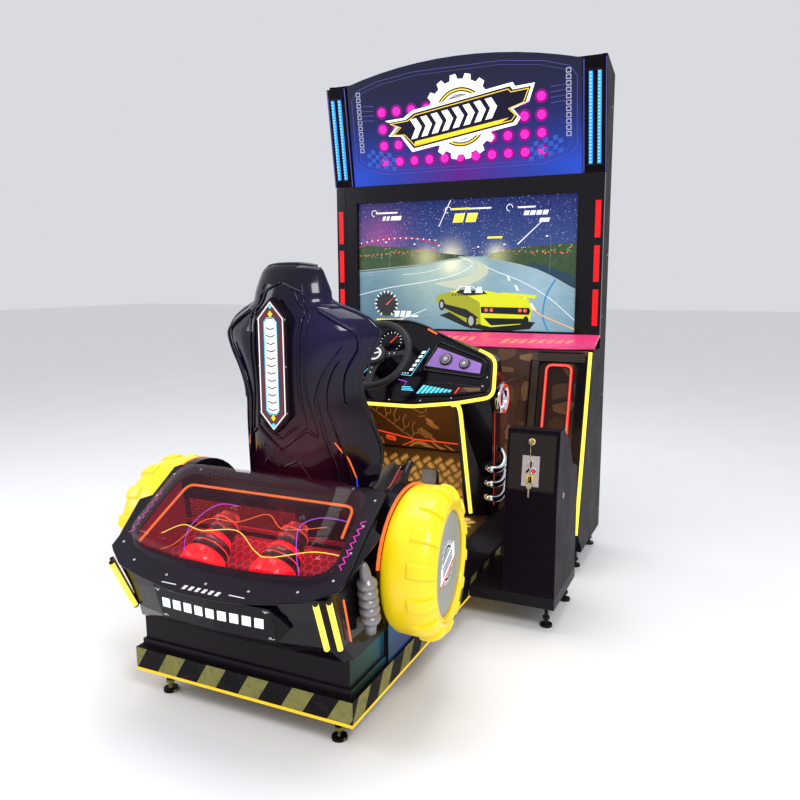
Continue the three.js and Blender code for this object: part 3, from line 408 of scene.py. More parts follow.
for key, rough, col, glow, power in (("dot", 0.3, (0.05, 0.0, 0.04), (0.30, 0.0, 0.26), 0.8),
    ("line", 0.3, (0.03, 0.03, 0.1), (0.10, 0.09, 0.42), 0.8),
    ("film", 0.3, (0.2, 0.2, 0.25), (0.45, 0.45, 0.72), 0.6),
    ("blue", 0.3, (0.02, 0.04, 0.2), (0.03, 0.09, 0.5), 0.8),
    ("silver", 0.3, (0.4, 0.4, 0.42), (0.9, 0.9, 0.98), 0.85),
    ("grey", 0.3, (0.2, 0.2, 0.22), (0.4, 0.41, 0.44), 0.7),
    ("deep", 0.25, (0.004, 0.003, 0.012), (0.008, 0.005, 0.03), 0.5),
    ("yellow", 0.3, (0.5, 0.35, 0.02), (1.0, 0.72, 0.03), 0.8),
    ("white", 0.3, (0.6, 0.6, 0.62), (1.0, 1.0, 1.0), 0.95)):
    M["mq_" + key] = surface("mq_" + key, col, rough, glow=glow, power=power, spec=0.2)

# ---------------------------------------------------------------- shapes
def round_edges(ob, width, segments, angle):
    b = ob.modifiers.new("bevel", "BEVEL")
    b.width, b.segments, b.limit_method, b.angle_limit = width, segments, "ANGLE", angle


def make(name, verts, faces, mat, body="cabinet", smooth=False, bevel=0.0, sub=0, segs=2, slot=None):
    me = bpy.data.meshes.new(name)
    me.from_pydata([tuple(v) for v in verts], [], faces)
    bm = bmesh.new()
    bm.from_mesh(me)
    bmesh.ops.remove_doubles(bm, verts=bm.verts, dist=1e-6)
    bmesh.ops.recalc_face_normals(bm, faces=bm.faces)
    bm.to_mesh(me)
    bm.free()
    me.materials.append(M[mat])
    ob = bpy.data.objects.new(name, me)
    scene.collection.objects.link(ob)
    if smooth or bevel:
        me.polygons.foreach_set("use_smooth", [True] * len(me.polygons))
    if bevel:
        round_edges(ob, bevel, segs, 0.5)
        ob.modifiers.new("flat", "WEIGHTED_NORMAL").keep_sharp = True
    if sub:
        s = ob.modifiers.new("sub", "SUBSURF")
        s.levels = s.render_levels = sub
    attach(ob, body)
    return ob


def rings(rows, closed=False, caps=True):
    n = len(rows[0])
    verts = [p for r in rows for p in r]
    faces = []
    for i in range(len(rows) if closed else len(rows) - 1):
        a, b = i * n, ((i + 1) % len(rows)) * n
        for j in range(n):
            k = (j + 1) % n
            faces.append((a + j, a + k, b + k, b + j))
    if caps and not closed:
        faces.append(tuple(reversed(range(n))))
        faces.append(tuple(range((len(rows) - 1) * n, len(rows) * n)))
    return verts, faces


def tube_rows(path, radius, sides=10, closed=False):
    pts = [Vector(p) for p in path]
    n = len(pts)
    rows = []
    nrm = None
    for i, p in enumerate(pts):
        nx = pts[(i + 1) % n] if closed or i + 1 < n else pts[i]
        pv = pts[i - 1] if closed or i > 0 else pts[i]
        t = (nx - pv).normalized()
        if nrm is None:
            nrm = Vector((0, 0, 1)) if abs(t.z) < 0.9 else Vector((1, 0, 0))
        nrm = (nrm - t * nrm.dot(t)).normalized()
        side = t.cross(nrm)
        r = radius[i] if isinstance(radius, (list, tuple)) else radius
        rows.append([p + nrm * (r * cos(2 * pi * k / sides)) + side * (r * sin(2 * pi * k / sides))
            for k in range(sides)])
    return rows


def tube(name, path, radius, mat, body="cabinet", sides=10, closed=False, **kw):
    v, f = rings(tube_rows(path, radius, sides, closed), closed)
    return make(name, v, f, mat, body, smooth=True, **kw)


def spin(name, profile, place, mat, body="cabinet", n=48, closed=True, **kw):
    rows = [[place(h, r * cos(2 * pi * k / n), r * sin(2 * pi * k / n)) for h, r in profile] for k in range(n)]
    m = len(profile)
    verts = [p for r in rows for p in r]
    faces = []
    for k in range(n):
        for i in range(m if closed else m - 1):
            j = (i + 1) % m
            a, b = k * m, ((k + 1) % n) * m
            faces.append((a + i, a + j, b + j, b + i))
    return make(name, verts, faces, mat, body, smooth=True, **kw)


def merge(parts):
    """One list of points and one of faces from several."""
    verts, faces = [], []
    for v, f in parts:
        faces += [tuple(len(verts) + i for i in face) for face in f]
        verts += v
    return verts, faces


def prism(poly, place, w0, w1):
    n = len(poly)
    verts = [place(u, v, w) for w in (w0, w1) for u, v in poly]
    faces = [tuple(reversed(range(n))), tuple(range(n, 2 * n))]
    return verts, faces + [(i, (i + 1) % n, n + (i + 1) % n, n + i) for i in range(n)]


def plates(name, polys, place, w0, w1, mat, body="cabinet", **kw):
    return make(name, *merge(prism(p, place, w0, w1) for p in polys), mat, body, **kw)


def plate(name, poly, *rest, **kw):
    return plates(name, [poly], *rest, **kw)


def rect(x0, x1, y0, y1):
    return [(x0, y0), (x1, y0), (x1, y1), (x0, y1)]


def disc(cx, cy, r, n=24, ry=None):
    ry = ry or r
    return [(cx + r * cos(2 * pi * k / n), cy + ry * sin(2 * pi * k / n)) for k in range(n)]


def sector(cx, cy, corners, squash=1.0):
    """A polygon given by the radius and angle of each corner."""
    return [(cx + r * cos(a), cy + r * squash * sin(a)) for r, a in corners]


def hexagon(cx, cy, r):
    return [(cx + r * sin(pi / 3 * k), cy + r * cos(pi / 3 * k)) for k in range(6)]


def annulus(cx, cy, r0, r1, n, first=0, last=None):
    """A ring as n quads, or a run of them."""
    return [sector(cx, cy, [(r, 2 * pi * (k + d) / n) for r, d in ((r0, 0), (r1, 0), (r1, 1), (r0, 1))])
            for k in range(first, last or n)]


def teeth(cx, cy, r0, r1, n, close, slant):
    out = []
    for k in range(n):
        a0, a1 = 2 * pi * (k + 0.1) / n, 2 * pi * (k + close) / n
        out.append(sector(cx, cy, ((r0, a0), (r1, a0 + slant), (r1, a1 - slant), (r0, a1))))
    return out


def ticks(cx, cy, r0, r1, half, degrees, squash=1.0):
    """Marks of a dial, each half an angle to both sides."""
    return [sector(cx, cy, ((r0, radians(a) - half), (r1, radians(a) - half), (r1, radians(a) + half),
        (r0, radians(a) + half)), squash) for a in degrees]


def around(place, x, z, ku=1.0, kv=1.0):
    """Lets spin() turn a profile about a point of a face."""
    return lambda h, u, v: place(x + u * ku, z + v * kv, h)


def spline(p0, p1, p2, p3, t):
    return 0.5 * (2 * p1 + (p2 - p0) * t + (2 * p0 - 5 * p1 + 4 * p2 - p3) * t * t
        + (3 * p1 - p0 - 3 * p2 + p3) * t ** 3)


def four_of(rows, i):
    """Row i, its neighbour before and the two after, kept inside the list."""
    return [rows[min(max(i + j, 0), len(rows) - 1)] for j in (-1, 0, 1, 2)]


def threads(runs, radius):
    """Short straight threads, as one set of points and faces."""
    return merge(rings(tube_rows(run, radius, 5)) for run in runs)


def band(points, width, closed=False):
    """Flat strip following a polyline, as quads."""
    out = []
    n = len(points)
    for i in range(n if closed else n - 1):
        (x0, y0), (x1, y1) = points[i], points[(i + 1) % n]
        length = hypot(x1 - x0, y1 - y0) or 1
        nx, ny = -(y1 - y0) / length * width / 2, (x1 - x0) / length * width / 2
        ex, ey = (x1 - x0) / length * width * 0.3, (y1 - y0) / length * width * 0.3
        out.append([(x0 + nx - ex, y0 + ny - ey), (x0 - nx - ex, y0 - ny - ey), (x1 - nx + ex, y1 - ny + ey),
            (x1 + nx + ex, y1 + ny + ey)])
    return out


def round_path(points, r, n=5, closed=True):
    """Rounds the corners of a 3-D polyline."""
    pts = [Vector(p) for p in points]
    out = []
    m = len(pts)
    for i, p in enumerate(pts):
        if not closed and i in (0, m - 1):
            out.append(p)
            continue
        a, b = pts[i - 1], pts[(i + 1) % m]
        ra = min(r, (a - p).length * 0.45)
        rb = min(r, (b - p).length * 0.45)
        s, e = p + (a - p).normalized() * ra, p + (b - p).normalized() * rb
        for k in range(n + 1):
            t = k / n
            out.append(s * (1 - t) ** 2 + p * 2 * t * (1 - t) + e * t ** 2)
    return out


def screws(name, places, normal, r, body="cabinet", mat="screw", h=0.0018):
    """Domed button heads with a hex socket."""
    nrm = Vector(normal).normalized()
    a = nrm.orthogonal().normalized()
    b = nrm.cross(a)
    profile = ((1.0, 0.0), (0.92, 0.6), (0.6, 1.0), (0.45, 1.0), (0.4, 0.45))
    turn = [2 * pi * i / 12 for i in range(12)]
    heads = [rings([[Vector(c) + (a * cos(t) + b * sin(t)) * r * k + nrm * h * d for t in turn]
        for k, d in profile]) for c in places]
    return make(name, *merge(heads), mat, body, smooth=True)


def paint(name, mat, bevel=0.0):
    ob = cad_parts[name]
    ob.data.materials.clear()
    ob.data.materials.append(M[mat])
    if bevel:
        round_edges(ob, bevel, 3, 0.6)


# ---------------------------------------------------------------- camera, floor and lights
yaw, pitch, roll = 0.433, 0.159, -0.005
view_dir = Vector((-sin(yaw) * cos(pitch), cos(yaw) * cos(pitch), -sin(pitch)))
level = Vector((cos(yaw), sin(yaw), 0))
upright = level.cross(view_dir)
cam_x = cos(roll) * level + sin(roll) * upright
cam_y = -sin(roll) * level + cos(roll) * upright
cam_data = bpy.data.cameras.new("camera")
cam_data.sensor_width, cam_data.lens, cam_data.clip_end = 36, 33.64, 60
cam_data.shift_x, cam_data.shift_y = -0.0067, -0.0034
cam = bpy.data.objects.new("camera", cam_data)
scene.collection.objects.link(cam)
turn = Matrix((cam_x, cam_y, -view_dir)).transposed().to_4x4()
cam.matrix_world = Matrix.Translation(D(1401.2, -1755.7, 1395.1)) @ turn
scene.camera = cam

world = bpy.data.worlds.new("studio")
scene.world = world
world.use_nodes = True
backdrop = world.node_tree.nodes["Background"].inputs
backdrop["Color"].default_value = (0.93, 0.94, 1.0, 1)
backdrop["Strength"].default_value = 0.75

floor_mat, nt, shader = tree("studio_floor")
grey = mixer(nt, noise(nt, coords(nt)[0], 2.0, 2.0), (0.84, 0.84, 0.85), (0.88, 0.88, 0.88))
nt.links.new(grey, shader.inputs["Base Color"])
shader.inputs["Roughness"].default_value = 0.7
me = bpy.data.meshes.new("floor")
me.from_pydata([(-30, -30, 0), (30, -30, 0), (30, 30, 0), (-30, 30, 0)], [], [(0, 1, 2, 3)])
me.materials.append(floor_mat)
floor = bpy.data.objects.new("floor", me)
scene.collection.objects.link(floor)


def area(name, at, target, size, watts, col=(1, 1, 1)):
    at = Vector(at)
    ld = bpy.data.lights.new(name, "AREA")
    ld.energy = watts
    ld.size = size
    ld.color = col
    ob = bpy.data.objects.new(name, ld)
    scene.collection.objects.link(ob)
    aim = (Vector(target) - at).to_track_quat("-Z", "Y").to_matrix().to_4x4()
    ob.matrix_world = Matrix.Translation(at) @ aim


area("key", (3.2, -3.4, 4.2), (0, -0.2, 0.9), 1.4, 130)
area("fill", (-3.6, -2.6, 2.6), (0, -0.3, 0.9), 1.6, 55, (0.85, 0.88, 1))
area("top", (0, 0.2, 5.0), (0, 0, 0.6), 3.0, 110)
# light thrown by the machine's own strips
area("cockpit_glow", D(150, 1130, 868), D(100, 1350, 350), 0.22, 1.9, (1.0, 0.60, 0.16))
area("cockpit_glow_left", D(-180, 1130, 868), D(-120, 1350, 350), 0.22, 1.5, (1.0, 0.60, 0.16))
area("bay_glow", D(0, 150, 640), D(0, 60, 500), 0.4, 2.2, (1.0, 0.05, 0.04))
area("front_glow", D(690, 1560, 620), D(560, 1660, 560), 0.2, 0.6, (1.0, 0.6, 0.2))

# ---------------------------------------------------------------- CAD nodes that stay, with their finishes
for mat, bevel, names in (
        ("platform", 0.002, "base_platform"),
        ("L_base", 0.002, "base_light"),
        ("plinth", 0.004, "pedestal"),
        ("gloss", 0.0, "tub_shell dash_console"),
        ("plate", 0.0, "tail_light_right tail_light_left seat_back_plate"),
        ("deck", 0.0015, "engine_deck"),
        ("honey", 0.0, "bay_floor"),
        ("plate", 0.0015, "rear_nameplate"),
        ("disc", 0.002, "wheel_disc_right wheel_disc_left"),
        ("steel", 0.002, "seat_rails"),
        ("frame", 0.003, "seat_carriage"),
        ("steel", 0.0, "seat_lever steering_shaft"),
        ("chequer", 0.0, "footwell_plate"),
        ("kick", 0.001, "kick_panel"),
        ("cheek", 0.0, "cheek_left cheek_right"),
        ("purple", 0.0008, "button_panel"),
        ("button", 0.002, "start_button view_button"),
        ("black", 0.003, "column_housing"),
        ("frame", 0.002, "accelerator_pedal brake_pedal coin_base"),
        ("frame", 0.001, "pedal_bracket"),
        ("black", 0.002, "side_panel_left side_panel_right marquee_frame grille_panel"),
        ("marq", 0.0, "marquee_panel"),
        ("black", 0.001, "back_panel service_door"),
        ("screen", 0.0, "monitor"),
        ("gloss", 0.002, "screen_bezel"),
        ("pink", 0.001, "ledge"),
        ("brown", 0.0, "lower_panel"),
        ("frame", 0.0, "cabinet_floor"),
        ("coin", 0.002, "coin_cabinet"),
        ("coindoor", 0.001, "coin_door"),
        ("mech", 0.001, "coin_mech"),
        ("redplastic", 0.001, "return_button"),
        ("brass", 0.001, "door_lock"),
        ("prop", 0.0, "piston_pair"),
        ("L_yellow", 0.0, "cockpit_light")):
    for name in names.split():
        paint(name, mat, bevel)

# ---------------------------------------------------------------- wheels
TYRE = [(440.5, 169), (440, 190), (440, 220), (443, 232), (454, 238.5), (480, 240), (510, 240.5), (538, 240),
    (560, 236), (578, 228), (591, 216), (600, 200), (603, 192), (601, 183), (594, 175), (584, 171)]
# a tread block's section: how far out, radius, half width
TREAD = [(522, 232, 25), (525, 247.5, 22), (545, 247.5, 22), (565, 246, 22), (585, 236, 22),
         (599, 222, 21), (607, 206, 18), (604, 195, 17), (590, 196, 20), (560, 222, 25)]
BLOCKS = 14
BANNER_LEAN = 0.275


def banner(x0, x1, y0, y1):
    return [(x + inset, y + x * BANNER_LEAN)
            for x, inset, y in ((x0, 0, y0), (x1, 0, y0), (x1, -8, y1), (x0, 8, y1))]


for s, tag in BOTH:
    def wheel_at(h, u, v, s=s):
        h -= max(0, h - 444) / 139 * (16 + 0.114 * u)  # the outer face toes in towards the front
        return D(s * h, WHEEL_Y + u, WHEEL_Z + v)

    def on_disc(u, v, w, s=s):
        return wheel_at(583.2 + w, u * s, v)

    def tread_row(a, side):
        c, sn = cos(a), sin(a)
        sunk = 1.2 if abs(side) == 1 else 0
        return [wheel_at(h, (r - sunk) * c - side * w * sn, (r - sunk) * sn + side * w * c)
                for h, r, w in TREAD]
    tyre = spin("tyre_body_" + tag, TYRE, wheel_at, "yellow", n=96, slot="wheel_yellow")
    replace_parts(tyre, "tyre_" + tag)
    blocks = [rings([tread_row(2 * pi * (k + 0.5) / BLOCKS, side) for side in (-1, -0.5, 0.5, 1)])
        for k in range(BLOCKS)]
    make("tread_blocks_" + tag, *merge(blocks), "yellow", bevel=0.005, segs=3, slot="wheel_yellow")
    # moulding lip, and a generic gear badge with a plain banner on the disc
    spin("wheel_lip_" + tag, [(586, 168), (597, 171), (600, 176), (597, 181), (588, 179)], wheel_at, "yellow",
        n=96)
    plates("disc_badge_" + tag, teeth(0, 0, 62, 72, 20, 0.6, 0.03) + annulus(0, 0, 44, 63, 40), on_disc, 0.1,
        1.0, "whitedim")
    plates("disc_badge_ring_" + tag, annulus(0, 0, 50, 56, 40), on_disc, 1.05, 1.6, "black")
    plate("disc_banner_" + tag, banner(-84, 84, -26, 26), on_disc, 1.7, 2.3, "white")
    bars = [[(x, y + up + x * BANNER_LEAN) for x, up in ((-60, 0), (50, 0), (56, 6), (-54, 6))]
        for y in (-14, -2, 10)]
    plates("disc_banner_dark_" + tag, bars, on_disc, 2.4, 2.9, "black")
    plate("disc_banner_line_" + tag, banner(-92, 92, -36, -30), on_disc, 1.7, 2.4, "L_orange")
    bolts = [wheel_at(583, 157 * cos(0.4 + pi / 3 * i), 157 * sin(0.4 + pi / 3 * i)) for i in range(6)]
    screws("disc_screws_" + tag, bolts, (s, 0, 0), 0.0035)
    # neon round the wheel wing, on its outer edge
    arc = [radians(4 + 5.2 * i) for i in range(33)]
    tube("arch_neon_" + tag, [D(s * 437.5, WHEEL_Y + 239 * cos(a), WHEEL_Z + 239 * sin(a)) for a in arc],
        0.0055, "L_orange")

# ---------------------------------------------------------------- rear of the tub
def rear_at(x, z, w):
    """A point on the rear plate: follows its bow."""
    y = -61 - (z - 353) * 0.3 - 10 * (1 - abs(x) / 212) + (12 if abs(x) > 220 else 0) - 16
    return D(x, y - w, z)


bars = [[(x, 396), (x + 30, 396), (x + 38, 431), (x + 8, 431)] for x in range(-196, 191, 43)]
plates("rear_lit_bars", bars, rear_at, 0.2, 1.8, "white")
edge_h = [(-212, 466), (212, 466), (259, 408), (209, 357), (-209, 357), (-259, 408)]
plates("rear_plate_line", band([(px * 0.975, 410 + (pz - 410) * 0.9) for px, pz in edge_h], 1.6, True), rear_at,
    0.2, 0.9, "whitedim")
screws("rear_plate_screws", [rear_at(px * 0.93, 410 + (pz - 410) * 0.84, 0) for px, pz in edge_h],
    (0, -1, -0.25), 0.005)
slots = [[(s * x, z + 12 * k) for x, z in ((228, 396), (240, 396), (244, 402), (232, 402))] for s in (-1, 1)
    for k in range(3)]
plates("rear_slots", slots, rear_at, 0.2, 1.0, "black")

TAIL = [Vector(v) for v in ((357, -39, 345), (384, -10, 337), (370, -118, 522), (396, -90, 520))]
TAIL_OUT = Vector((0.66, -0.72, -0.2)).normalized()
for s, tag in BOTH:
    for i, (a, b) in enumerate(((0, 2), (1, 3))):
        run = [TAIL[a].lerp(TAIL[b], k) + TAIL_OUT * 4 for k in (0.03, 0.5, 0.97)]
        tube(f"tail_tube_{tag}_{i}", [D(s * q.x, q.y, q.z) for q in run], 0.0088, "L_yellow", sides=14)
    tube("tail_line_" + tag, [D(s * 401.5, 22, 352), D(s * 404, 0, 420), D(s * 408, -28, 500)], 0.003,
        "L_orange", sides=8)

# rim round the deck: dark bead, screws, generic chevrons and dashes
half = [(0, -110), (101, -108), (230, -86), (340, -60), (423, 0), (424, 60), (416, 200), (415, 352), (400, 364)]
outline = half + [(-u, v) for u, v in reversed(half[1:])]
tube("deck_bead", round_path([deck(u * 0.998, v * 0.986, 2) for u, v in outline], 0.02, 4), 0.0035, "gloss",
    sides=8, closed=True)
pts = ((0, -66), (150, -62), (300, -34), (388, 22), (399, 120), (396, 220), (392, 320), (300, 356))
screws("deck_screws", [deck(s * u, v, 6) for u, v in pts for s in (-1, 1) if u or s > 0],
    (0, -sin(SLOPE), cos(SLOPE)), 0.0045)
dashes = [[(u + 24 * k, v) for u, v in ((-70, -97), (-58, -97), (-52, -83), (-64, -83))] for k in range(6)]
plates("deck_rear_marks", dashes + [rect(-150, -96, -89, -86), rect(96, 150, -87, -84)], deck, 6.2, 6.8,
    "whitedim")
chevrons = [band([(sd * u, v + 26 * k) for u, v in part], 2.5)[0]
    for part in (((396, 60), (382, 74)), ((382, 74), (396, 84))) for k in range(7) for sd in (-1, 1)]
plates("deck_side_marks", chevrons, deck, 6.2, 6.8, "L_magenta")

# honeycomb on the bay floor and its walls
hexes = []
r = 17.0
for i in range(-13, 14):
    for j in range(10):
        x, v = i * r * 1.74 + (r * 0.87 if j % 2 else 0), 2 + j * r * 1.5
        if abs(x) < 352 and v < 226:
            hexes += band(hexagon(x, v, r), 2.6, True)
plates("bay_honeycomb", hexes, deck, -165.2, -163.4, "honeyline")
for sd, tag in SIDES:
    verts = [deck(sd * 372, v, w) for v, w in ((10, -160), (250, -160), (320, -8), (12, -8))]
    make("bay_wall_" + tag, verts + [v + Vector((sd * 0.002, 0, 0)) for v in verts],
         [(0, 1, 2, 3), (7, 6, 5, 4), (0, 4, 5, 1), (1, 5, 6, 2), (2, 6, 7, 3), (3, 7, 4, 0)], "honey")
plate("bay_front_wall", rect(-370, 370, 250, 254), deck, -160, -140, "honey")

# orange neon loop in the bay, and loose lit wires over the props
loop = round_path([deck(-352, 34, -12), deck(-323, 300, -12), deck(323, 300, -12), deck(336, 180, -12)], 0.03,
    6, closed=False)
tube("bay_neon", loop, 0.0042, "L_orange")


def wire(name, pts, mat, r=0.0014):
    ctrl = [deck(*p) for p in pts]
    path = [spline(*four_of(ctrl, i), k / 8) for i in range(len(ctrl) - 1) for k in range(8)]
    tube(name, path + [ctrl[-1]], r, mat, sides=7)


wire("wire_yellow_a", [(-340, 120, -60), (-240, 140, -20), (-130, 110, 10), (-20, 140, -4), (70, 90, -20),
    (150, 60, 5), (260, 120, -20), (330, 150, -60)], "L_yellow")
wire("wire_yellow_b", [(-300, 60, -60), (-210, 60, -8), (-150, 160, 0), (-60, 190, -30), (40, 230, -20),
    (140, 170, 0), (250, 230, -40)], "L_orange", 0.0011)
wire("wire_purple", [(250, 30, -60), (215, 110, -6), (190, 190, 0), (235, 240, -10), (300, 270, -50)],
    "L_purple")
wire("wire_purple_b", [(-180, 20, -60), (-200, 120, -10), (-150, 220, 0), (-100, 260, -40)], "L_purple", 0.0012)

# red coil-over props: turned bodies with dark grooves, red rings, a collar, fins and a tip
PROP = [(18, 0), (18, 44), (24, 66), (32, 71), (70, 71), (78, 66), (82, 56), (86, 56), (90, 64), (118, 64),
    (124, 60), (148, 47), (156, 40), (160, 40), (163, 48), (179, 48), (183, 40), (190, 38), (194, 46),
    (211, 46), (215, 36), (224, 33), (242, 29), (248, 20), (254, 15), (292, 13), (296, 9), (296, 0)]
for s, tag in BOTH:
    def prop_at(h, u, v, s=s):
        return deck(s * 134 + u, h, -86 + h * 0.06 + v)
    spin("prop_" + tag, [q for q in PROP if q[0] < 86] + [(86, 0)], prop_at, "prop", n=48, closed=False,
        slot="prop_red")
    spin("prop_neck_" + tag, [(85.5, 0)] + [q for q in PROP if q[0] > 84], prop_at, "propdark", n=48,
        closed=False, slot="prop_red")
    spin("prop_collar_" + tag, [(124, 58), (124, 61.5), (136, 55), (147, 48.8), (147, 45)], prop_at, "prop",
        n=48)
    spin("prop_tip_" + tag, [(254, 10), (254, 15.8), (270, 14.8), (290, 13.6), (290, 10)], prop_at, "propdark",
        n=32)
    # the lit red rings on the dark upper part are painted red highlights, drawn in a lamp material
    for kind, mat, half, under, over, places in (
            ("groove", "propdark", 2.5, 4, 1, ((84, 57), (157, 41), (186.5, 39.5), (219, 36))),
            ("ring", "L_red", 1.6, 3, 0.6, ((100, 64.5), (202, 46.5)))):
        for i, (h, r) in enumerate(places):
            hoop = [(h - half, r - under), (h - half, r + over), (h + half, r + over), (h + half, r - under)]
            spin(f"prop_{kind}_{tag}_{i}", hoop, prop_at, mat, n=40)
    fins = []
    for k in range(12):
        c, sn = cos(2 * pi * k / 12), sin(2 * pi * k / 12)
        fins.append(rings([[prop_at(h, r * c - w * sn, r * sn + w * c)
            for r, w in ((68, 7), (74.5, 4.5), (74.5, -4.5), (68, -7))] for h in (34, 68)]))
    make("prop_fins_" + tag, *merge(fins), "prop", bevel=0.0015)
plate("prop_bar", rect(-150, 150, 34, 64), deck, -164.6, -112, "propdark", bevel=0.003)
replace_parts(bpy.data.objects["prop_right"], "piston_pair")

# clear dome, drawn as one smooth moulding
dome_half = [(0, -20), (160, -16), (317, 4), (365, 32), (385, 76), (379, 250), (372, 312), (345, 345),
    (300, 356)]
top_half = [(0, 16), (140, 18), (250, 22), (292, 32), (313, 60), (304, 230), (298, 280), (286, 306), (262, 317)]


def dome_row(t, w, inset):
    """The dome's outline at height w: t goes from its foot to its flat top."""
    pts = [(a[0] + (b[0] - a[0]) * t, a[1] + (b[1] - a[1]) * t) for a, b in zip(dome_half, top_half)]
    loop = [(u * (1 - inset / 380), 168 + (v - 168) * (1 - inset / 180), 0)
        for u, v in pts + [(-u, v) for u, v in reversed(pts[1:])]]
    return [deck(q.x, q.y, w) for q in round_path(loop, 60, 6)]


steps = [(0, 7.2, 0), (0.03, 16, 0), (0.10, 28, 0), (0.22, 41, 0), (0.38, 52, 0), (0.56, 60.5, 0),
    (0.76, 66.5, 0), (0.92, 69.6, 0), (1.0, 70.6, 0), (1.0, 70.8, 40)]
outer = [dome_row(t, w, i) for t, w, i in steps]
under = [dome_row(t, w - 3.6, i + 3.6) for t, w, i in steps]
n, rows = len(outer[0]), len(outer)
verts = [p for row in outer + under for p in row]
q = rows * n
faces = []
for i in range(rows - 1):
    for j in range(n):
        a, b, c, d = i * n + j, i * n + (j + 1) % n, (i + 1) * n + (j + 1) % n, (i + 1) * n + j
        faces += [(a, b, c, d), (q + a, q + d, q + c, q + b)]
faces += [(j, q + j, q + (j + 1) % n, (j + 1) % n) for j in range(n)]
faces.append(tuple((rows - 1) * n + j for j in range(n)))
faces.append(tuple(q + (rows - 1) * n + j for j in reversed(range(n))))
dome = make("dome_moulding", verts, faces, "dome", smooth=True, slot="dome_clear")
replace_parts(dome, "dome_cover")

# ribbed exhausts
EXHAUST = [(420, 62, 582, 6), (422, 63, 576, 11), (424, 64, 566, 14.5), (427, 66, 548, 17),
    (428, 68, 536, 17.5)]
for k in range(5):
    for down, radius in ((0, 20), (2, 26), (8, 30.5), (15, 31.5), (22, 30), (27, 25)):
        z = 528 - 28.5 * k - down
        EXHAUST.append((430, 68 + (534 - z) * 0.17, z, radius))
EXHAUST += [(429, 93, 382, 20), (428, 94, 372, 18.5), (426, 96, 352, 18)]
for s, tag in BOTH:
    path, radii = [D(s * x, y, z) for x, y, z, r in EXHAUST], [r / 1000 for x, y, z, r in EXHAUST]
    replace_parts(tube("exhaust_pipe_" + tag, path, radii, "pipe", sides=28, slot="pipe_grey"), "exhaust_" + tag)

# engine trim: turbo ring, pipes and backing strip
TURBO = [(416, 40), (416, 60), (424, 66), (434, 71), (444, 71.5), (451, 68), (454.5, 61), (453, 54), (447, 49),
    (438, 46), (430, 44)]
SIDE_PIPE = ((398, 1258, 0), (424, 1260, -6), (448, 1284, -4), (455, 1318, 14), (446, 1346, 44),
    (421, 1360, 74))
for s, tag in BOTH:
    def turbo_at(h, u, v, s=s):
        return D(s * h, 1317 + u, 877 + v)

    def on_cheek(u, v, w, s=s):
        return D(s * (414.8 + w), u, v)
    turbo = spin("turbo_ring_" + tag, TURBO, turbo_at, "chrome", n=56, slot="trim_chrome")
    spin("turbo_bore_" + tag, [(417, 5), (417, 43), (432, 42.5), (424, 12)], turbo_at, "black", n=40)
    spin("turbo_red_" + tag, [(452.4, 56), (455, 58), (455.2, 61.5), (452.6, 63)], turbo_at, "L_red", n=56)
    for i, z in enumerate((576, 511, 446)):
        path = round_path([D(s * a, b, z + c) for a, b, c in SIDE_PIPE], 0.03, 4, False)
        radii = [0.0165 - 0.007 * max(0, (k / len(path) - 0.55)) / 0.45 for k in range(len(path))]
        tube(f"side_pipe_{tag}_{i}", path, radii, "chrome", sides=20)
        screws(f"side_pipe_cap_{tag}_{i}", [path[0]], (0, -1, 0), 0.014, mat="chrome", h=0.004)
    plate("trim_strip_" + tag, rect(1310, 1376, 420, 930), on_cheek, 0, 4.5, "plate", bevel=0.001)
    plates("trim_line_" + tag, band([(1302, 400), (1302, 800), (1290, 940)], 4), on_cheek, 0.2, 1.2, "redline")
    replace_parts(turbo, "engine_trim_" + tag)

# ---------------------------------------------------------------- seat
SEAT = [(850, 575, 0, 1, 232, 100), (760, 535, 0, 1, 240, 95), (650, 505, 0, 1, 247, 105),
    (540, 490, 0.03, 1, 252, 130), (440, 495, 0.2, 0.98, 255, 150), (368, 530, 0.5, 0.86, 257, 170),
    (325, 592, 0.82, 0.57, 260, 180), (302, 680, 0.97, 0.24, 265, 196), (290, 800, 1, 0.06, 270, 214),
    (280, 930, 1, 0, 250, 176), (271, 1014, 1, 0, 234, 161), (268, 1086, 1, 0, 245, 145),
    (268, 1150, 1, 0, 280, 149), (272, 1212, 1, 0, 306, 152), (280, 1250, 1, 0, 282, 138),
    (288, 1278, 1, 0, 238, 117), (296, 1314, 1, 0, 160, 79), (304, 1350, 1, 0, 146, 70),
    (316, 1384, 1, -0.1, 134, 58), (340, 1425, 0.95, -0.3, 118, 38), (358, 1440, 0.9, -0.45, 104, 22)]


def seat_row(i):
    """Smooth station between the measured ones."""
    k = min(int(i), len(SEAT) - 2)
    return [spline(*four, i - k) for four in zip(*four_of(SEAT, k))]


def seat_pt(i, s, depth):
    """A point of the seat: station i up it, s from -1 to 1 across it, depth from the back of the shell."""
    y, z, ny, nz, half, wrap = seat_row(i)
    across = half * (s - 0.1 * s ** 3) / 0.9 * (1 - (depth / half) * 0.9 * abs(s) ** 3)
    lift = wrap * abs(s) ** 2.3 + depth
    return D(across, y + ny * lift, z + nz * lift)


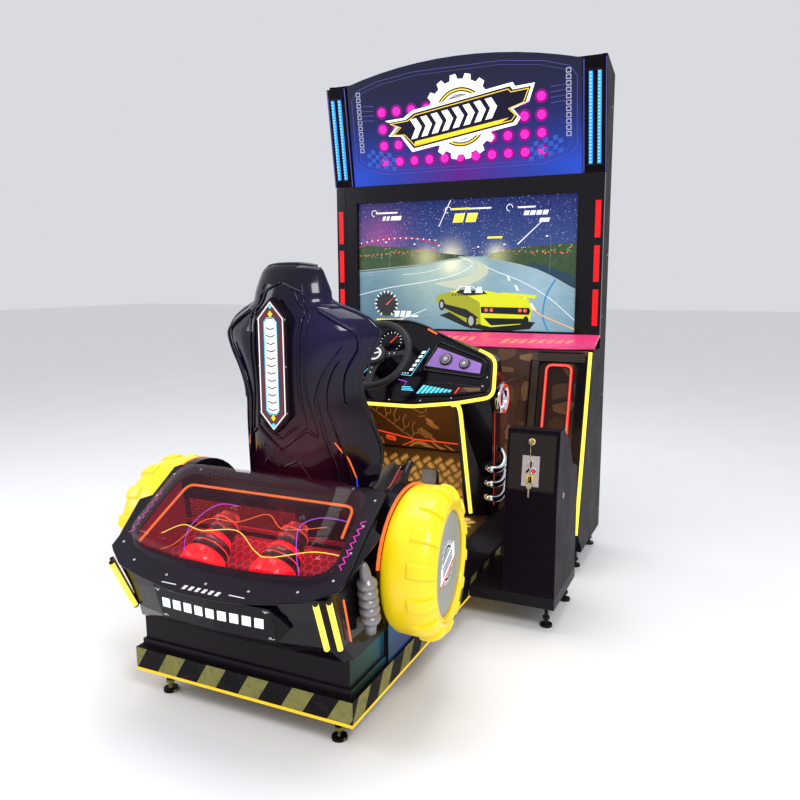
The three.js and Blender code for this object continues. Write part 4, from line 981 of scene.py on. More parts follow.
def seat_shape(i0, i1, ni, s_list, out, inn):
    """A slab over the seat's surface: out and inn give its two depths."""
    ns = len(s_list)
    verts, faces = [], []
    for a in range(ni + 1):
        for depth in (out, inn):
            verts += [seat_pt(i0 + (i1 - i0) * a / ni, s, depth(a / ni, s)) for s in s_list]
    at = lambda a, j, k: a * 2 * ns + k * ns + j
    for a in range(ni):
        for j in range(ns - 1):
            faces.append((at(a, j, 0), at(a, j + 1, 0), at(a + 1, j + 1, 0), at(a + 1, j, 0)))
            faces.append((at(a, j, 1), at(a + 1, j, 1), at(a + 1, j + 1, 1), at(a, j + 1, 1)))
        for j in (0, ns - 1):
            faces.append((at(a, j, 0), at(a + 1, j, 0), at(a + 1, j, 1), at(a, j, 1)))
    for j in range(ns - 1):
        for a in (0, ni):
            faces.append((at(a, j, 0), at(a, j, 1), at(a, j + 1, 1), at(a, j + 1, 0)))
    return verts, faces


def back_relief(t, s):
    """Raised panel lines pressed into the back of the shell."""
    i, high = t * 20, 4.5
    if not 7.2 < i < 15.6:
        return 0.0
    edge = 0.42 + 0.1 * sin((i - 7.2) / 8.4 * pi)
    return max(0.0, high - high / (1 + exp((abs(s) - edge) * 70)))


bucket = seat_shape(0, 20, 120, [-1 + 2 * k / 40 for k in range(41)], back_relief, lambda t,
    s: 24 - (2 if abs(s) > 0.99 else 0))
shell = make("seat_bucket", *bucket, "shell", "seat", bevel=0.006, segs=3, slot="black_moulding")
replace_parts(shell, "seat_shell")


# padded cushion and back with a sewn centre panel and piped edge
HALF = 0.74          # the pads stop short of the shell's rolled edge
BASE = 24.9          # depth of their underside from the back of the shell
SEAM = 0.385         # where the stitched seam runs, as a part of the half width


def swell(verts, faces, held, voxel=0.006, cap=0.007):
    """Cloth pressure fills a closed pad; held picks the points that stay, and none moves further than cap."""
    me = bpy.data.meshes.new("swell")
    me.from_pydata([tuple(v) for v in verts], [], faces)
    me.update()
    ob = bpy.data.objects.new("swell", me)
    scene.collection.objects.link(ob)
    rm = ob.modifiers.new("remesh", "REMESH")
    rm.mode = "VOXEL"
    rm.voxel_size = voxel
    done = bpy.data.meshes.new_from_object(ob.evaluated_get(bpy.context.evaluated_depsgraph_get()))
    ob.modifiers.clear()
    ob.data = done
    start = [v.co.copy() for v in done.vertices]
    group = ob.vertex_groups.new(name="held")
    group.add([i for i, co in enumerate(start) if held(co)], 1.0, "REPLACE")
    cloth = ob.modifiers.new("cloth", "CLOTH")
    cloth.settings.vertex_group_mass = "held"
    cloth.settings.use_pressure = True
    cloth.settings.uniform_pressure_force = 4.0
    cloth.settings.effector_weights.gravity = 0.0
    cloth.point_cache.frame_start, cloth.point_cache.frame_end = 1, 20
    was = scene.frame_current
    for f in range(1, 21):
        scene.frame_set(f)
    end = [v.co.copy() for v in ob.evaluated_get(bpy.context.evaluated_depsgraph_get()).data.vertices]
    out = [a + (b - a) * min(1.0, cap / max((b - a).length, 1e-9)) for a, b in zip(start, end)]
    polys = [tuple(p.vertices) for p in done.polygons]
    bpy.data.objects.remove(ob)
    for left in (done, me):
        bpy.data.meshes.remove(left)
    scene.frame_set(was)
    return out, polys


def pad(name, cad, i0, i1, ni, thick, ribs):
    row = lambda t: i0 + (i1 - i0) * t
    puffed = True
    body = thick * (0.93 if puffed else 1.0)

    def groove(t, s):
        a = abs(s) / HALF
        deep = 0.17 * exp(-((a - 0.52) / 0.035) ** 2)
        if a < 0.52:
            deep += 0.09 * exp(-(((t * ribs) % 1 - 0.5) / 0.09) ** 2)
        return thick * deep

    def rim(t, s):
        edge = max(0.0, min(1.0, (1 - abs(s) / HALF) / 0.13))
        ends = max(0.0, min(1.0, min(t, 1 - t) / 0.07))
        return sqrt(max(0.0, 1 - (1 - edge) ** 2)) * sqrt(max(0.0, 1 - (1 - ends) ** 2))

    def top(t, s):
        crown = 1 + 0.12 * cos(abs(s) / HALF * pi / 2) * sin(pi * t)
        return 25.2 + body * rim(t, s) * crown - (0 if puffed else rim(t, s) * groove(t, s))

    verts, faces = seat_shape(i0, i1, ni, [HALF * (2 * k / 36 - 1) for k in range(37)], lambda t, s: BASE, top)
    if puffed:
        fine = [(t / 200, HALF * (k / 70 - 1)) for t in range(201) for k in range(141)]
        look, under = kdtree.KDTree(len(fine)), kdtree.KDTree(len(fine))
        for n, (t, s) in enumerate(fine):
            look.insert(seat_pt(row(t), s, top(t, s)), n)
            under.insert(seat_pt(row(t), s, BASE), n)
        look.balance()
        under.balance()
        verts, faces = swell(verts, faces, lambda co: under.find(co)[2] < 0.004 or look.find(co)[2] > 0.012)
        for n, co in enumerate(verts):
            if under.find(co)[2] > 0.006:
                t, s = fine[look.find(co)[1]]
                way = seat_pt(row(t), s, 1) - seat_pt(row(t), s, 0)
                verts[n] = co - way * (rim(t, s) * groove(t, s))
    ob = make(name, verts, faces, "vinyl", "seat", smooth=True, sub=1, slot="seat_soft")
    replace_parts(ob, cad)
    skin = bvhtree.BVHTree.FromPolygons([tuple(v) for v in verts], faces)
    for sd, tag in SIDES:
        welt = [seat_pt(row(0.03 + 0.94 * k / 60), sd * 0.735, 27) for k in range(61)]
        tube(f"{name}_welt_{tag}", welt, 0.0032, "stitch", "seat", sides=8)
        seam = []
        for k in range(90):
            i = row(0.08 + 0.84 * k / 89)
            high, low = seat_pt(i, sd * SEAM, 160), seat_pt(i, sd * SEAM, 20)
            hit = skin.ray_cast(high, (low - high).normalized())[0] or seat_pt(i, sd * SEAM, 25 + thick)
            seam.append(hit + (high - low).normalized() * 0.0007)
        runs = [[seam[k], seam[k].lerp(seam[k + 1], 0.8)] for k in range(0, 88, 2)]
        make(f"{name}_stitches_{tag}", *threads(runs, 0.0009), "stitch", "seat", smooth=True)


pad("cushion_pad", "seat_cushion", 0.05, 3.9, 60, 54, 7)
pad("back_pad", "seat_back_pad", 7.05, 16.8, 90, 44, 12)

# raised hexagon frame with its lit panel on the back of the seat
def on_back(x, z, w):
    return D(x, 250 - w, z)


def panel(kx, kz):
    outline = [(0, 890), (58, 946), (58, 1278), (0, 1334), (-58, 1278), (-58, 946)]
    return [(x * kx, 1112 + (z - 1112) * kz) for x, z in outline]


def slab(half, top, low, high, over):
    """A strip with its corners cut off."""
    return [(-half, low + over), (-top, low), (top, low), (half, low + over),
            (half, high - over), (top, high), (-top, high), (-half, high - over)]


def gem(z, half, tall):
    return [(0, z - tall), (half, z), (0, z + tall), (-half, z)]


bars = [[(-17, z), (0, z - 6), (17, z), (17, z + 4), (0, z - 2), (-17, z + 4)] for z in range(972, 1237, 24)]
for part, polys, w0, w1, mat, bevel in (
        ("frame_maroon", [panel(0.88, 0.96)], 0, 3, "maroon", 0.001),
        ("frame_line", band(panel(0.80, 0.93), 3, True), 3.1, 4.2, "white", 0),
        ("lit_panel", [slab(22, 12, 958, 1266, 12)], 3.2, 6, "white", 0.001),
        ("lit_outline", band(slab(24, 12, 954, 1270, 14), 2, True), 5.2, 6.6, "L_cyan", 0),
        ("lit_bars", bars, 6.1, 6.9, "maroon", 0),
        ("lit_ends", [gem(943, 9, 11), gem(1281, 9, 11)], 3.2, 5, "yellow", 0),
        ("lit_gems", [gem(919, 7, 7), gem(1305, 7, 7)], 3.2, 5, "L_cyan", 0)):
    plates("seat_" + part, polys, on_back, w0, w1, mat, "seat", bevel=bevel)
screws("seat_frame_screws", [on_back(x, z, 0) for x in (-51, 51) for z in (960, 1112, 1264)], (0, -1, 0), 0.004,
    "seat")


def ridge(name, rows, thick, mat="shell"):
    """A pressed ridge through points of the shell, thin at its ends."""
    pts = []
    for (i_a, s_a), (i_b, s_b) in zip(rows, rows[1:]):
        pts += [seat_pt(i_a + (i_b - i_a) * t / 10, s_a + (s_b - s_a) * t / 10, -1.6) for t in range(10)]
    pts.append(seat_pt(*rows[-1], -1.6))
    along = [0.03 + 0.94 * k / (len(pts) - 1) for k in range(len(pts))]
    tube(name, pts, [thick * (0.35 + 0.65 * sin(pi * k) ** 0.4) for k in along], mat, "seat", sides=10)


# a chevron over the lit panel, two under it, and a spreading pair of legs
RIDGES = {
    "chevron_top": (0.005, (17.9, 0.02), (16.9, 0.5), (16.3, 0.53)),
    "spine": (0.0052, (17.2, 0.34), (15.6, 0.44), (14.6, 0.31), (13, 0.25), (11, 0.3), (9.4, 0.33),
              (8.75, 0.34)),
    "spine_b": (0.0038, (17.8, 0.5), (15.8, 0.52), (14.4, 0.38), (13, 0.31), (11, 0.37), (9.4, 0.42),
                (8.6, 0.46)),
    "vee_a": (0.0055, (8.5, 0.005), (8.85, 0.25)),
    "vee_b": (0.006, (8.22, 0.005), (8.75, 0.34), (8.55, 0.45)),
    "leg": (0.0055, (7.75, 0.02), (7.95, 0.2), (6.7, 0.5)),
    "side": (0.0065, (12.4, 0.7), (11, 0.6), (9.8, 0.5), (8.6, 0.52), (7.2, 0.62), (5.8, 0.66)),
    "side_b": (0.005, (11.6, 0.72), (10.4, 0.66), (9.3, 0.62), (8.2, 0.66), (7, 0.74), (5.6, 0.76)),
    "shoulder": (0.0055, (15.4, 0.6), (14.2, 0.66), (13, 0.8), (12.2, 0.86), (11, 0.84), (9.6, 0.82)),
    # the last two are painted highlights: orange and blue light caught along the seat's side ridges, drawn in lamp
    # materials
    "glow_orange": (0.0028, (8.4, 0.6), (7.9, 0.7), (7.2, 0.78)),
    "glow_blue": (0.0028, (7.2, 0.78), (6.6, 0.8), (5.9, 0.78))}
PAINTED_HIGHLIGHTS = {"glow_orange": "L_orange", "glow_blue": "L_deepblue"}
for sd, tag in SIDES:
    for part, (thick, *rows) in RIDGES.items():
        ridge(f"seat_{part}_{tag}", [(i, sd * s) for i, s in rows], thick, PAINTED_HIGHLIGHTS.get(part, "shell"))
for sd, tag in SIDES:
    tube("seat_edge_" + tag, [seat_pt(0.2 + 19.4 * i / 150, sd * 0.985, 12) for i in range(151)], 0.0125,
        "shell", "seat", sides=12)
tube("seat_headroll", [seat_pt(19.9, -0.96 + 1.92 * i / 30, 11) for i in range(31)], 0.013, "shell", "seat",
    sides=12)

# ---------------------------------------------------------------- steering wheel
rim_section = [(13.5 * sin(2 * pi * k / 14), 146 + 15 * cos(2 * pi * k / 14)) for k in range(14)]
rim = spin("wheel_rim", rim_section, steer, "grip", "steering", n=72, slot="grip_black")
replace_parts(rim, "steering_wheel")
for i, (a, wide) in enumerate(((0.12, 18), (pi - 0.12, 18), (-pi / 2, 24))):
    c, sn = cos(a), sin(a)
    rows = []
    for t in [k / 10 for k in range(11)]:
        r, w, h = 34 + 104 * t, wide * (1.15 - 0.3 * sin(pi * t) - 0.25 * t), -12 + 8 * t
        rows.append([steer(h + up, r * c - q * w * sn, r * sn + q * w * c)
                     for q, up in ((-1, 0), (-0.8, 5), (0.8, 5), (1, 0), (0.8, -3), (-0.8, -3))])
    make(f"wheel_spoke_{i}", *rings(rows), "grip", "steering", bevel=0.002)
    screws(f"wheel_spoke_screws_{i}", [steer(-1.5, r * c, r * sn) for r in (62, 84)], steer(1) - steer(0),
        0.004, "steering")
spin("wheel_hub_cover", [(-16, 3), (-16, 44), (0, 46), (6, 43), (8, 36), (8, 3)], steer, "grip", "steering",
    n=40)
plates("wheel_badge", annulus(0, 0, 22, 30, 30) + [[(-24, -8), (20, 4), (24, 12), (-20, 0)]],
       lambda u, v, w: steer(8.2 + w, u, v), 0, 1, "whitedim", "steering")
for k, sd in enumerate((1, -1)):
    turns = [sd * (0.15 + 0.95 * j / 70) for j in range(70)]
    runs = [[steer(1.0, 131.5 * cos(a), 131.5 * sin(a)),
        steer(-1.5, 131.6 * cos(a + 0.006), 131.6 * sin(a + 0.006))] for a in turns]
    make(f"rim_stitches_{k}", *threads(runs, 0.0007), "stitch", "steering", smooth=True)

# ---------------------------------------------------------------- dash
half_face = [(0, 884), (171, 885), (354, 908), (480, 934), (492, 954), (474, 1058), (455, 1078), (195, 1173),
    (165, 1187), (120, 1200), (75, 1210), (0, 1213)]
half_face = [(u * 0.975, 1045 + (v - 1045) * 0.975) for u, v in half_face]
edge = half_face + [(-u, v) for u, v in reversed(half_face[1:-1])]
tube("dash_rim", round_path([dash(u, v, 1) for u, v in edge], 0.02, 4), 0.006, "gloss", sides=10, closed=True)


def side_of(sd, points):
    return [(sd * u, v) for u, v in points]


for sd, tag in SIDES:
    pan = side_of(sd, [(178, 1016), (444, 996), (452, 1050), (430, 1066), (222, 1128)])
    tube("dash_bay_" + tag, round_path([dash(u, v, 1.5) for u, v in pan], 0.02, 5), 0.0042, "gloss", sides=8,
        closed=True)
    pod = side_of(sd, [(60, 938), (120, 908), (350, 926), (470, 948), (462, 962), (300, 972), (150, 966)])
    plate("dash_pod_" + tag, pod, dash, 0.5, 5, "gloss", bevel=0.002)
    bars = []
    for k in range(8):
        x0, h = 176 + 19 * k, 33 - 3.4 * k
        bars.append([(x0, 941 - h / 2), (x0 + 12, 941 - h / 2), (x0 + 12 + h * 0.7, 941 + h / 2),
            (x0 + h * 0.7, 941 + h / 2)])
    bars += [[(106, z), (160 - 8 * k, z), (162 - 8 * k, z + 3), (107, z + 3)]
        for k, z in enumerate((934, 940, 946))]
    dots = [[(118 + 9 * k, z), (134 + 9 * k, z + 2), (138 + 9 * k, z + 12), (122 + 9 * k, z + 10)]
            for k, z in enumerate(range(1010, 1095, 17))]
    for part, polys, w0, w1, mat in (("bars", bars, 5.2, 6.2, "L_cyan"),
        ("bar_end", [[(340, 934), (347, 934), (360, 957), (353, 957)]], 5.2, 6.2, "L_red"),
        ("vent", [[(358, 938), (446, 948), (444, 960), (368, 957)]], 5.2, 6, "brown"),
        ("meter", dots, 1.2, 2.4, "white"), ("meter_line",
        band([(74, 1012), (88, 994), (132, 992), (186, 1100)], 2.2), 1.2, 2.2, "L_cyan"),
        ("meter_dots", [disc(92 + 12 * k, 1001, 2.6, 10) for k in range(3)], 1.2, 2.4, "white"),
        ("pink", band([(80, 975), (120, 968), (112, 950)], 2.6), 1.2, 2.2, "L_purple")):
        plates(f"dash_{part}_{tag}", [side_of(sd, p) for p in polys], dash, w0, w1, mat)
    hood = [dash(sd * 205, 1158, 4), dash(sd * 180, 1168, 4), dash(sd * 160, 1176, 4)]
    tube("dash_hood_light_" + tag, hood, 0.004, "L_orange")
# instrument pod behind the wheel, plain dial without lettering
FLAT = 0.84          # height of the dash's round parts, as a part of their width
dash_out = dash(0, 0, 1) - dash(0, 0, 0)
spin("dial_ring", [(0, 52), (0, 60), (7, 60), (7, 54)], around(dash, 0, 1120, kv=FLAT), "plate", n=48)
plates("dial_ticks", ticks(0, 1120, 44, 51, 0.02, range(-40, 221, 20), FLAT), dash, 1, 2, "white")
plates("dial_hand", [[(-3, 1118), (3, 1118), (26, 1146), (24, 1148)]], dash, 2.2, 3, "L_red")
screws("dash_screws", [dash(sd * u, v, 0.5)
    for u, v in ((410, 1088), (300, 1128), (462, 1000), (450, 968), (60, 896), (200, 900), (330, 918))
    for sd in (-1, 1)], dash_out, 0.004)
screws("panel_screws", [dash(u, v, 3.6) for u, v in ((226, 1096), (200, 1040), (420, 1018), (420, 1046))],
    dash_out, 0.0034)
for part, x, z, r in (("start", 272, 1060, 22), ("view", 356, 1046, 18)):
    turned = around(dash, x, z, kv=FLAT)
    bezel = [(3.8, r + 0.6), (9.5, r + 0.8), (10, r + 3.6), (7.5, r + 5.4), (3.8, r + 5.6)]
    spin(part + "_bezel", bezel, turned, "button_dark", n=40)
    spin(part + "_ring", [(13.5, r * 0.62), (14.4, r * 0.66), (14.4, r * 0.74), (13.3, r * 0.78)], turned,
        "button_dark", part, n=40)
    cap = [(13, 0.5), (13.4, r * 0.5), (13.2, r - 2.4), (12, r - 0.8), (10, r - 0.4), (10, 0.5)]
    spin(part + "_cap", cap, turned, "button", part, n=40)
    plate(part + "_mark", [(x - 7, z - 3), (x + 7, z - 3), (x, z + 6)], dash, 13.6, 14.2, "whitedim", part)

# cockpit light, drawn round
light = [(0, 878), (171, 879), (354, 902), (484, 929), (498, 952), (481, 1060), (460, 1083), (405, 1103)]
path = [dash(u, v, -4) for u, v in reversed(light)] + [dash(-u, v, -4) for u, v in light[1:]]
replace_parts(tube("cockpit_led", round_path(path, 0.02, 4, False), 0.0074, "L_yellow", sides=12),
    "cockpit_light")
for sd, tag in SIDES:
    tube("pillar_led_" + tag, round_path([dash(sd * 340, 896, -6), D(sd * 326, 1030, 888),
        D(sd * 322, 1118, 868), D(sd * 322, 1262, 364)], 0.06, 8, False), 0.0088, "L_yellow", sides=12)

# ---------------------------------------------------------------- footwell
def lug(place, u, v, ang, length, w, h):
    """One low bar with pointed ends."""
    c, s = cos(ang), sin(ang)
    verts = [place(u + a * c - b * s, v + a * s + b * c, up) for a, b, up in (
        (-length, 0, 0), (0, -w, 0), (length, 0, 0), (0, w, 0), (-length * 0.45, 0, h), (length * 0.45, 0, h))]
    return verts, [(0, 1, 5, 4), (1, 2, 5), (2, 3, 4, 5), (3, 0, 4)]


def lugs(name, place, u0, u1, v0, v1, keep):
    """Five-bar chequer: bars in diamonds on a 60 mm grid and its centres, neighbours a quarter turn apart."""
    half, inset, step = 30, 24, 8.2
    parts = []
    for i in range(int((u1 - u0 - half) // half)):
        for j in range(int((v1 - v0 - half) // half)):
            u, v = u0 + inset + i * half, v0 + inset + j * half
            if (i + j) % 2 or not keep(u, v):
                continue
            ang = pi / 4 if i % 2 else -pi / 4
            c, s = cos(ang + pi / 2), sin(ang + pi / 2)
            parts += [lug(place, u + c * step * k, v + s * step * k, ang, 20.5 - 1.2 * abs(k), 2.7, 2.6)
                for k in range(-2, 3)]
    make(name, *merge(parts), "lug")


def slope(y, z, run, rise):
    """A plane across the cabinet that starts at y, z and climbs."""
    n = hypot(run, rise)
    return lambda u, v, w: D(u, y + v * run / n - w * rise / n, z + v * rise / n + w * run / n)


REST_RUN, REST_RISE = 162, 199       # foot rest
REST = hypot(REST_RUN, REST_RISE)
lugs("chequer_floor", lambda u, v, w: D(u, v, FLOOR_Z + w), -390, 390, 610, 1396,
     lambda u, v: not (abs(u) > 285 and v > 1225) and not (abs(u) < 140 and v > 1318))
lugs("chequer_rest", slope(1400, FLOOR_Z, REST_RUN, REST_RISE), -388, 388, 4, REST - 2,
     lambda u, v: not (abs(u) > 285 and v < 40))
kick = slope(1549, 623, -134, 390)
plates("kick_red_line", band([(-388, 26), (-268, 12), (-76, -22), (164, -26), (388, -58)], 7)
    + band([(-76, -24), (-150, -62)], 5), kick, 0.4, 1.2, "redline")
plates("kick_badge", [[(-236, -14), (-232, -8), (-190, -14), (-182, -24), (-186, -40), (-226, -36),
    (-236, -28)]], kick, 0.4, 1.3, "redline")
plates("kick_badge_bars", [[(-228, -20 - 7 * k), (-192, -24 - 7 * k), (-192, -27 - 7 * k), (-228, -23 - 7 * k)]
    for k in range(2)], kick, 1.4, 1.9, "kick")
plates("kick_foot_line", [rect(-390, 390, -76, -68)], kick, 0.4, 1.4, "rubber")
tracks = []
for k in range(5):  # tyre marks: open forked outlines in a leaning row
    x, z = -300 + 44 * k, 150 - 34 * k
    tracks += band([(x, z), (x + 30, z - 26), (x + 44, z - 4), (x + 40, z + 36), (x + 60, z + 66)], 3.4)
    tracks += band([(x + 44, z - 4), (x + 66, z + 4), (x + 70, z + 24)], 3)
for line, width in (([(-300, 146), (-190, 62), (-130, 8)], 2.4),
    ([(-60, 150), (-20, 132), (8, 150), (4, 168)], 2.6), ([(-40, 112), (0, 118)], 2.4)):
    tracks += band(line, width)
plates("kick_tracks", tracks, kick, 0.3, 1.0, "tan")
rng = random.Random(7)
scratches = []
for x_mid, z_mid, count, longest in ((-2, 96, 9, 62), (-52, 44, 12, 90)):
    for k in range(count):
        x, z = x_mid + rng.uniform(-4, 20), z_mid + rng.uniform(-24, 14)
        run = rng.uniform(0.5, 1.0) * longest
        dx, dz = run * 0.8, run * 0.62
        scratches.append([(x, z), (x + dx, z - dz), (x + dx + 5, z - dz + 5), (x + 2, z + 4)])
plates("kick_scratches", scratches, kick, 0.3, 0.9, "tan")
shards = [[(-118, -64), (-96, -42), (-64, -30), (-44, -34), (-6, -62), (-30, -58), (-58, -46), (-86, -52),
    (-98, -64)], [(-52, -30), (-30, -32), (26, -64), (40, -66), (-6, -60)],
    [(10, -34), (20, -30), (84, -66), (50, -66)], [(72, -34), (84, -38), (132, -66), (108, -66)],
    [(150, -36), (164, -40), (196, -66), (178, -66)], [(-300, -30), (-262, -22), (-250, -60), (-288, -66)],
    [(230, -38), (246, -40), (290, -66), (262, -66)]]
plates("kick_shards", shards, kick, 0.3, 1.0, "tan")
screws("rest_screws", [D(x, 1564, 549) for x in (-360, -180, 0, 180, 360)], (0, -0.2, 0.98), 0.005)
for x0, pedal in ((42, "accelerator"), (-118, "brake")):
    on_pad = lambda u, v, w, x0=x0: D(x0 + u, 1352 + v * 0.2 - w, 417 + v * 0.98 + w * 0.2)
    plate("pedal_pad_" + pedal, rect(0.5, 75.5, 1, 98), on_pad, 0.3, 3.2, "frame", pedal, bevel=0.001)
    verts, faces = merge(lug(on_pad, 8 + i * 10, 8 + j * 10.3, pi / 4 if (i + j) % 2 else -pi / 4, 6.4, 1.7,
        1.6) for i in range(7) for j in range(9))
    proud = Vector((0, -0.0032, 0.0006))
    make("pedal_lugs_" + pedal, [v + proud for v in verts], faces, "steel", pedal)
    plate("pedal_box_" + pedal, [(1380, 408), (1398, 408), (1400, 470), (1384, 502)],
          lambda u, v, w, x0=x0: D(x0 + 34 + w, u, v), 0, 40, "frame", pedal, bevel=0.002)

# ---------------------------------------------------------------- screen picture, all generic
def on_screen(u, v, w=0):
    return D(u, PANEL_Y - w, v)


def pic(name, polys, low, high, mat):
    plates(name, polys, on_screen, low, high, mat)


def sky(nt, obj, xyz, colour):
    base = mixer(nt, ramp(nt, xyz[2], 1.5, 0.3), (0.035, 0.06, 0.16), (0.004, 0.008, 0.06))
    cloud = noise(nt, obj, 7.0, 8.0, 0.7)
    base = mixer(nt, mul(nt, cloud, 0.7), base, (0.01, 0.015, 0.09))
    for scale, radius, k, col in ((70.0, 0.13, 0.75, (0.8, 0.85, 1.0)), (150.0, 0.16, 0.55, (0.4, 0.5, 1.0)),
                                  (26.0, 0.035, 0.9, (1.0, 1.0, 1.0))):
        cell = node(nt, "ShaderNodeTexVoronoi", obj, Scale=scale, Randomness=1.0)
        star = calc(nt, "LESS_THAN", cell.outputs["Distance"], radius)
        base = mixer(nt, mul(nt, mul(nt, star, cloud), k), base, col)
    return glows(nt, obj, base, on_screen, (
        ((-60, 1512), 0.06, 0.5, (0.7, 0.66, 0.45)), ((-200, 1505), 0.05, 0.5, (0.6, 0.5, 0.4)),
        ((190, 1510), 0.045, 0.5, (0.7, 0.7, 0.5)), ((-470, 1600), 0.13, 0.3, (0.4, 0.05, 0.2))))


def road(nt, obj, xyz, colour):
    grain = noise(nt, obj, 14.0, 10.0, 0.75)
    flat = node(nt, "ShaderNodeMapping", obj, Scale=(4, 1, 60)).outputs[0]
    far = clamp(nt, mul(nt, calc(nt, "SUBTRACT", xyz[2], 1.12), 2.8))
    base = mixer(nt, far, (0.06, 0.16, 0.22), (0.10, 0.17, 0.19))
    base = mixer(nt, mul(nt, noise(nt, flat, 1.5, 6.0, 0.7), 0.75), base, (0.22, 0.36, 0.42))
    base = glows(nt, obj, base, on_screen, (
        ((-180, 1400), 0.20, 0.7, (0.34, 0.44, 0.36)), ((-60, 1470), 0.06, 0.8, (0.8, 0.78, 0.5)),
        ((60, 1430), 0.07, 0.55, (0.55, 0.62, 0.45)), ((420, 1420), 0.16, 0.6, (0.25, 0.38, 0.45)),
        ((-470, 1180), 0.26, 0.6, (0.02, 0.05, 0.08)), ((330, 1210), 0.2, 0.45, (0.3, 0.4, 0.45))))
    return mixer(nt, mul(nt, grain, 0.45), base, (0.03, 0.06, 0.08))


def hills(nt, obj, xyz, colour):
    base = mixer(nt, noise(nt, obj, 40.0, 8.0, 0.8), (0.002, 0.006, 0.004), (0.05, 0.09, 0.04))
    return glows(nt, obj, base, on_screen, (
        ((-200, 1500), 0.07, 0.6, (0.4, 0.4, 0.2)), ((190, 1500), 0.06, 0.5, (0.4, 0.42, 0.2))))


for key, col, rough, glow, pattern in (("sky", (0.01, 0.02, 0.06), 0.2, (0.05, 0.1, 0.3), sky),
    ("road", (0.08, 0.12, 0.14), 0.2, (0.2, 0.3, 0.35), road),
    ("hills", (0.01, 0.02, 0.01), 0.3, (0.02, 0.04, 0.02), hills)):
    M[key] = surface("screen_" + key, col, rough, glow=glow, power=1.0, pattern=pattern, spec=0.2)
for key, col, power in (("kerb", (0.42, 0.46, 0.48), 0.9), ("barrier", (0.2, 0.22, 0.26), 0.8),
    ("lamp_w", (1.0, 0.95, 0.8), 1.4), ("lamp_r", (1.0, 0.12, 0.06), 1.2), ("car_y", (0.78, 0.82, 0.02), 0.95),
    ("car_k", (0.015, 0.02, 0.02), 0.6), ("car_d", (0.42, 0.44, 0.02), 0.85), ("hud", (0.95, 0.97, 1.0), 1.0),
    ("hud_y", (1.0, 0.85, 0.08), 1.1), ("city", (0.8, 0.6, 0.25), 0.9), ("trail", (1.0, 0.45, 0.12), 1.1),
    ("sea", (0.02, 0.06, 0.10), 0.8), ("far_road", (0.62, 0.66, 0.5), 0.9), ("rose", (0.5, 0.04, 0.16), 0.9),
    ("trail_b", (0.05, 0.3, 0.6), 0.9)):
    M[key] = surface("screen_" + key, tuple(c * 0.2 for c in col), 0.3, glow=col, power=power, var=0.15,
        scale=6.0)


def curve_pts(ctrl):
    flat = [Vector((*p, 0)) for p in ctrl]
    pts = [spline(*four_of(flat, i), k / 8) for i in range(len(ctrl) - 1) for k in range(8)]
    return [(q.x, q.y) for q in pts] + [ctrl[-1]]


def ribbon(a, b):
    """Quads between two curves of the picture."""
    pa, pb = curve_pts(a), curve_pts(b)
    return [[pa[k], pa[k + 1], pb[k + 1], pb[k]] for k in range(len(pa) - 1)]


pic("pic_sky", [rect(-604, 604, 1500, 1795)], 0.3, 0.6, "sky")
pic("pic_ground", [rect(-604, 604, 1121, 1502)], 0.3, 0.6, "road")
pic("pic_hills", ribbon([(-604, 1575), (-430, 1560), (-250, 1545), (-100, 1520), (20, 1508)],
    [(-604, 1425), (-430, 1440), (-250, 1456), (-100, 1480), (20, 1494)])
    + ribbon([(150, 1512), (300, 1540), (450, 1552), (604, 1560)],
    [(150, 1490), (300, 1462), (450, 1420), (604, 1370)]), 0.7, 0.9, "hills")
pic("pic_sea", ribbon([(360, 1470), (480, 1440), (604, 1395)], [(360, 1452), (480, 1400), (604, 1330)]), 1.0,
    1.2, "sea")
pic("pic_far_road", ribbon([(-20, 1502), (10, 1488), (70, 1468), (90, 1440), (40, 1400), (-160, 1362)],
    [(8, 1502), (48, 1488), (112, 1466), (150, 1434), (120, 1390), (-20, 1330)]), 1.0, 1.2, "far_road")
for part, line, width, mat in (("rail_a", [(-604, 1432), (-430, 1446), (-250, 1462), (-100, 1484), (10, 1497)],
    4, "kerb"), ("rail_b", [(-604, 1418), (-430, 1432), (-250, 1450), (-100, 1474), (0, 1492)], 2.4, "kerb"),
    ("rail_c", [(160, 1488), (300, 1456), (450, 1404), (604, 1330)], 5, "kerb"),
    ("rail_d", [(160, 1480), (300, 1440), (450, 1380), (604, 1296)], 2.6, "kerb"),
    ("line_a", [(-604, 1300), (-420, 1340), (-200, 1372), (-60, 1400), (40, 1440), (60, 1470), (10, 1490)], 3,
    "hud"), ("line_b", [(600, 1180), (470, 1290), (330, 1370), (200, 1420), (130, 1450)], 3, "hud"),
    ("line_c", [(-600, 1136), (-450, 1150), (-320, 1180), (-200, 1226)], 3, "hud"),
    ("line_d", [(-340, 1410), (-220, 1420), (-120, 1440)], 2, "hud")):
    pic("pic_" + part, band(curve_pts(line), width), 1.3, 1.6, mat)
pic("pic_dashes", [[(250 + 40 * k, 1400 - 46 * k), (258 + 42 * k, 1400 - 46 * k), (268 + 46 * k, 1376 - 50 * k),
    (258 + 43 * k, 1376 - 50 * k)] for k in range(4)], 1.3, 1.6, "hud")
pic("pic_arch", band(curve_pts([(-604, 1560), (-480, 1600), (-340, 1608), (-200, 1588), (-120, 1560)]), 7), 1.0,
    1.3, "rose")
pic("pic_arch_lights", [disc(-590 + 34 * k, 1578 + 26 * sin(pi * (k + 1) / 16), 3.5, 8) for k in range(14)],
    1.4, 1.8, "lamp_w")
pic("pic_red_lights", [rect(-600 + 26 * k, -592 + 26 * k, 1512 + 1.5 * k, 1517 + 1.5 * k) for k in range(18)]
    + [rect(220 + 30 * k, 227 + 30 * k, 1522 - 1.0 * k, 1527 - 1.0 * k) for k in range(12)], 1.3, 1.7, "lamp_r")
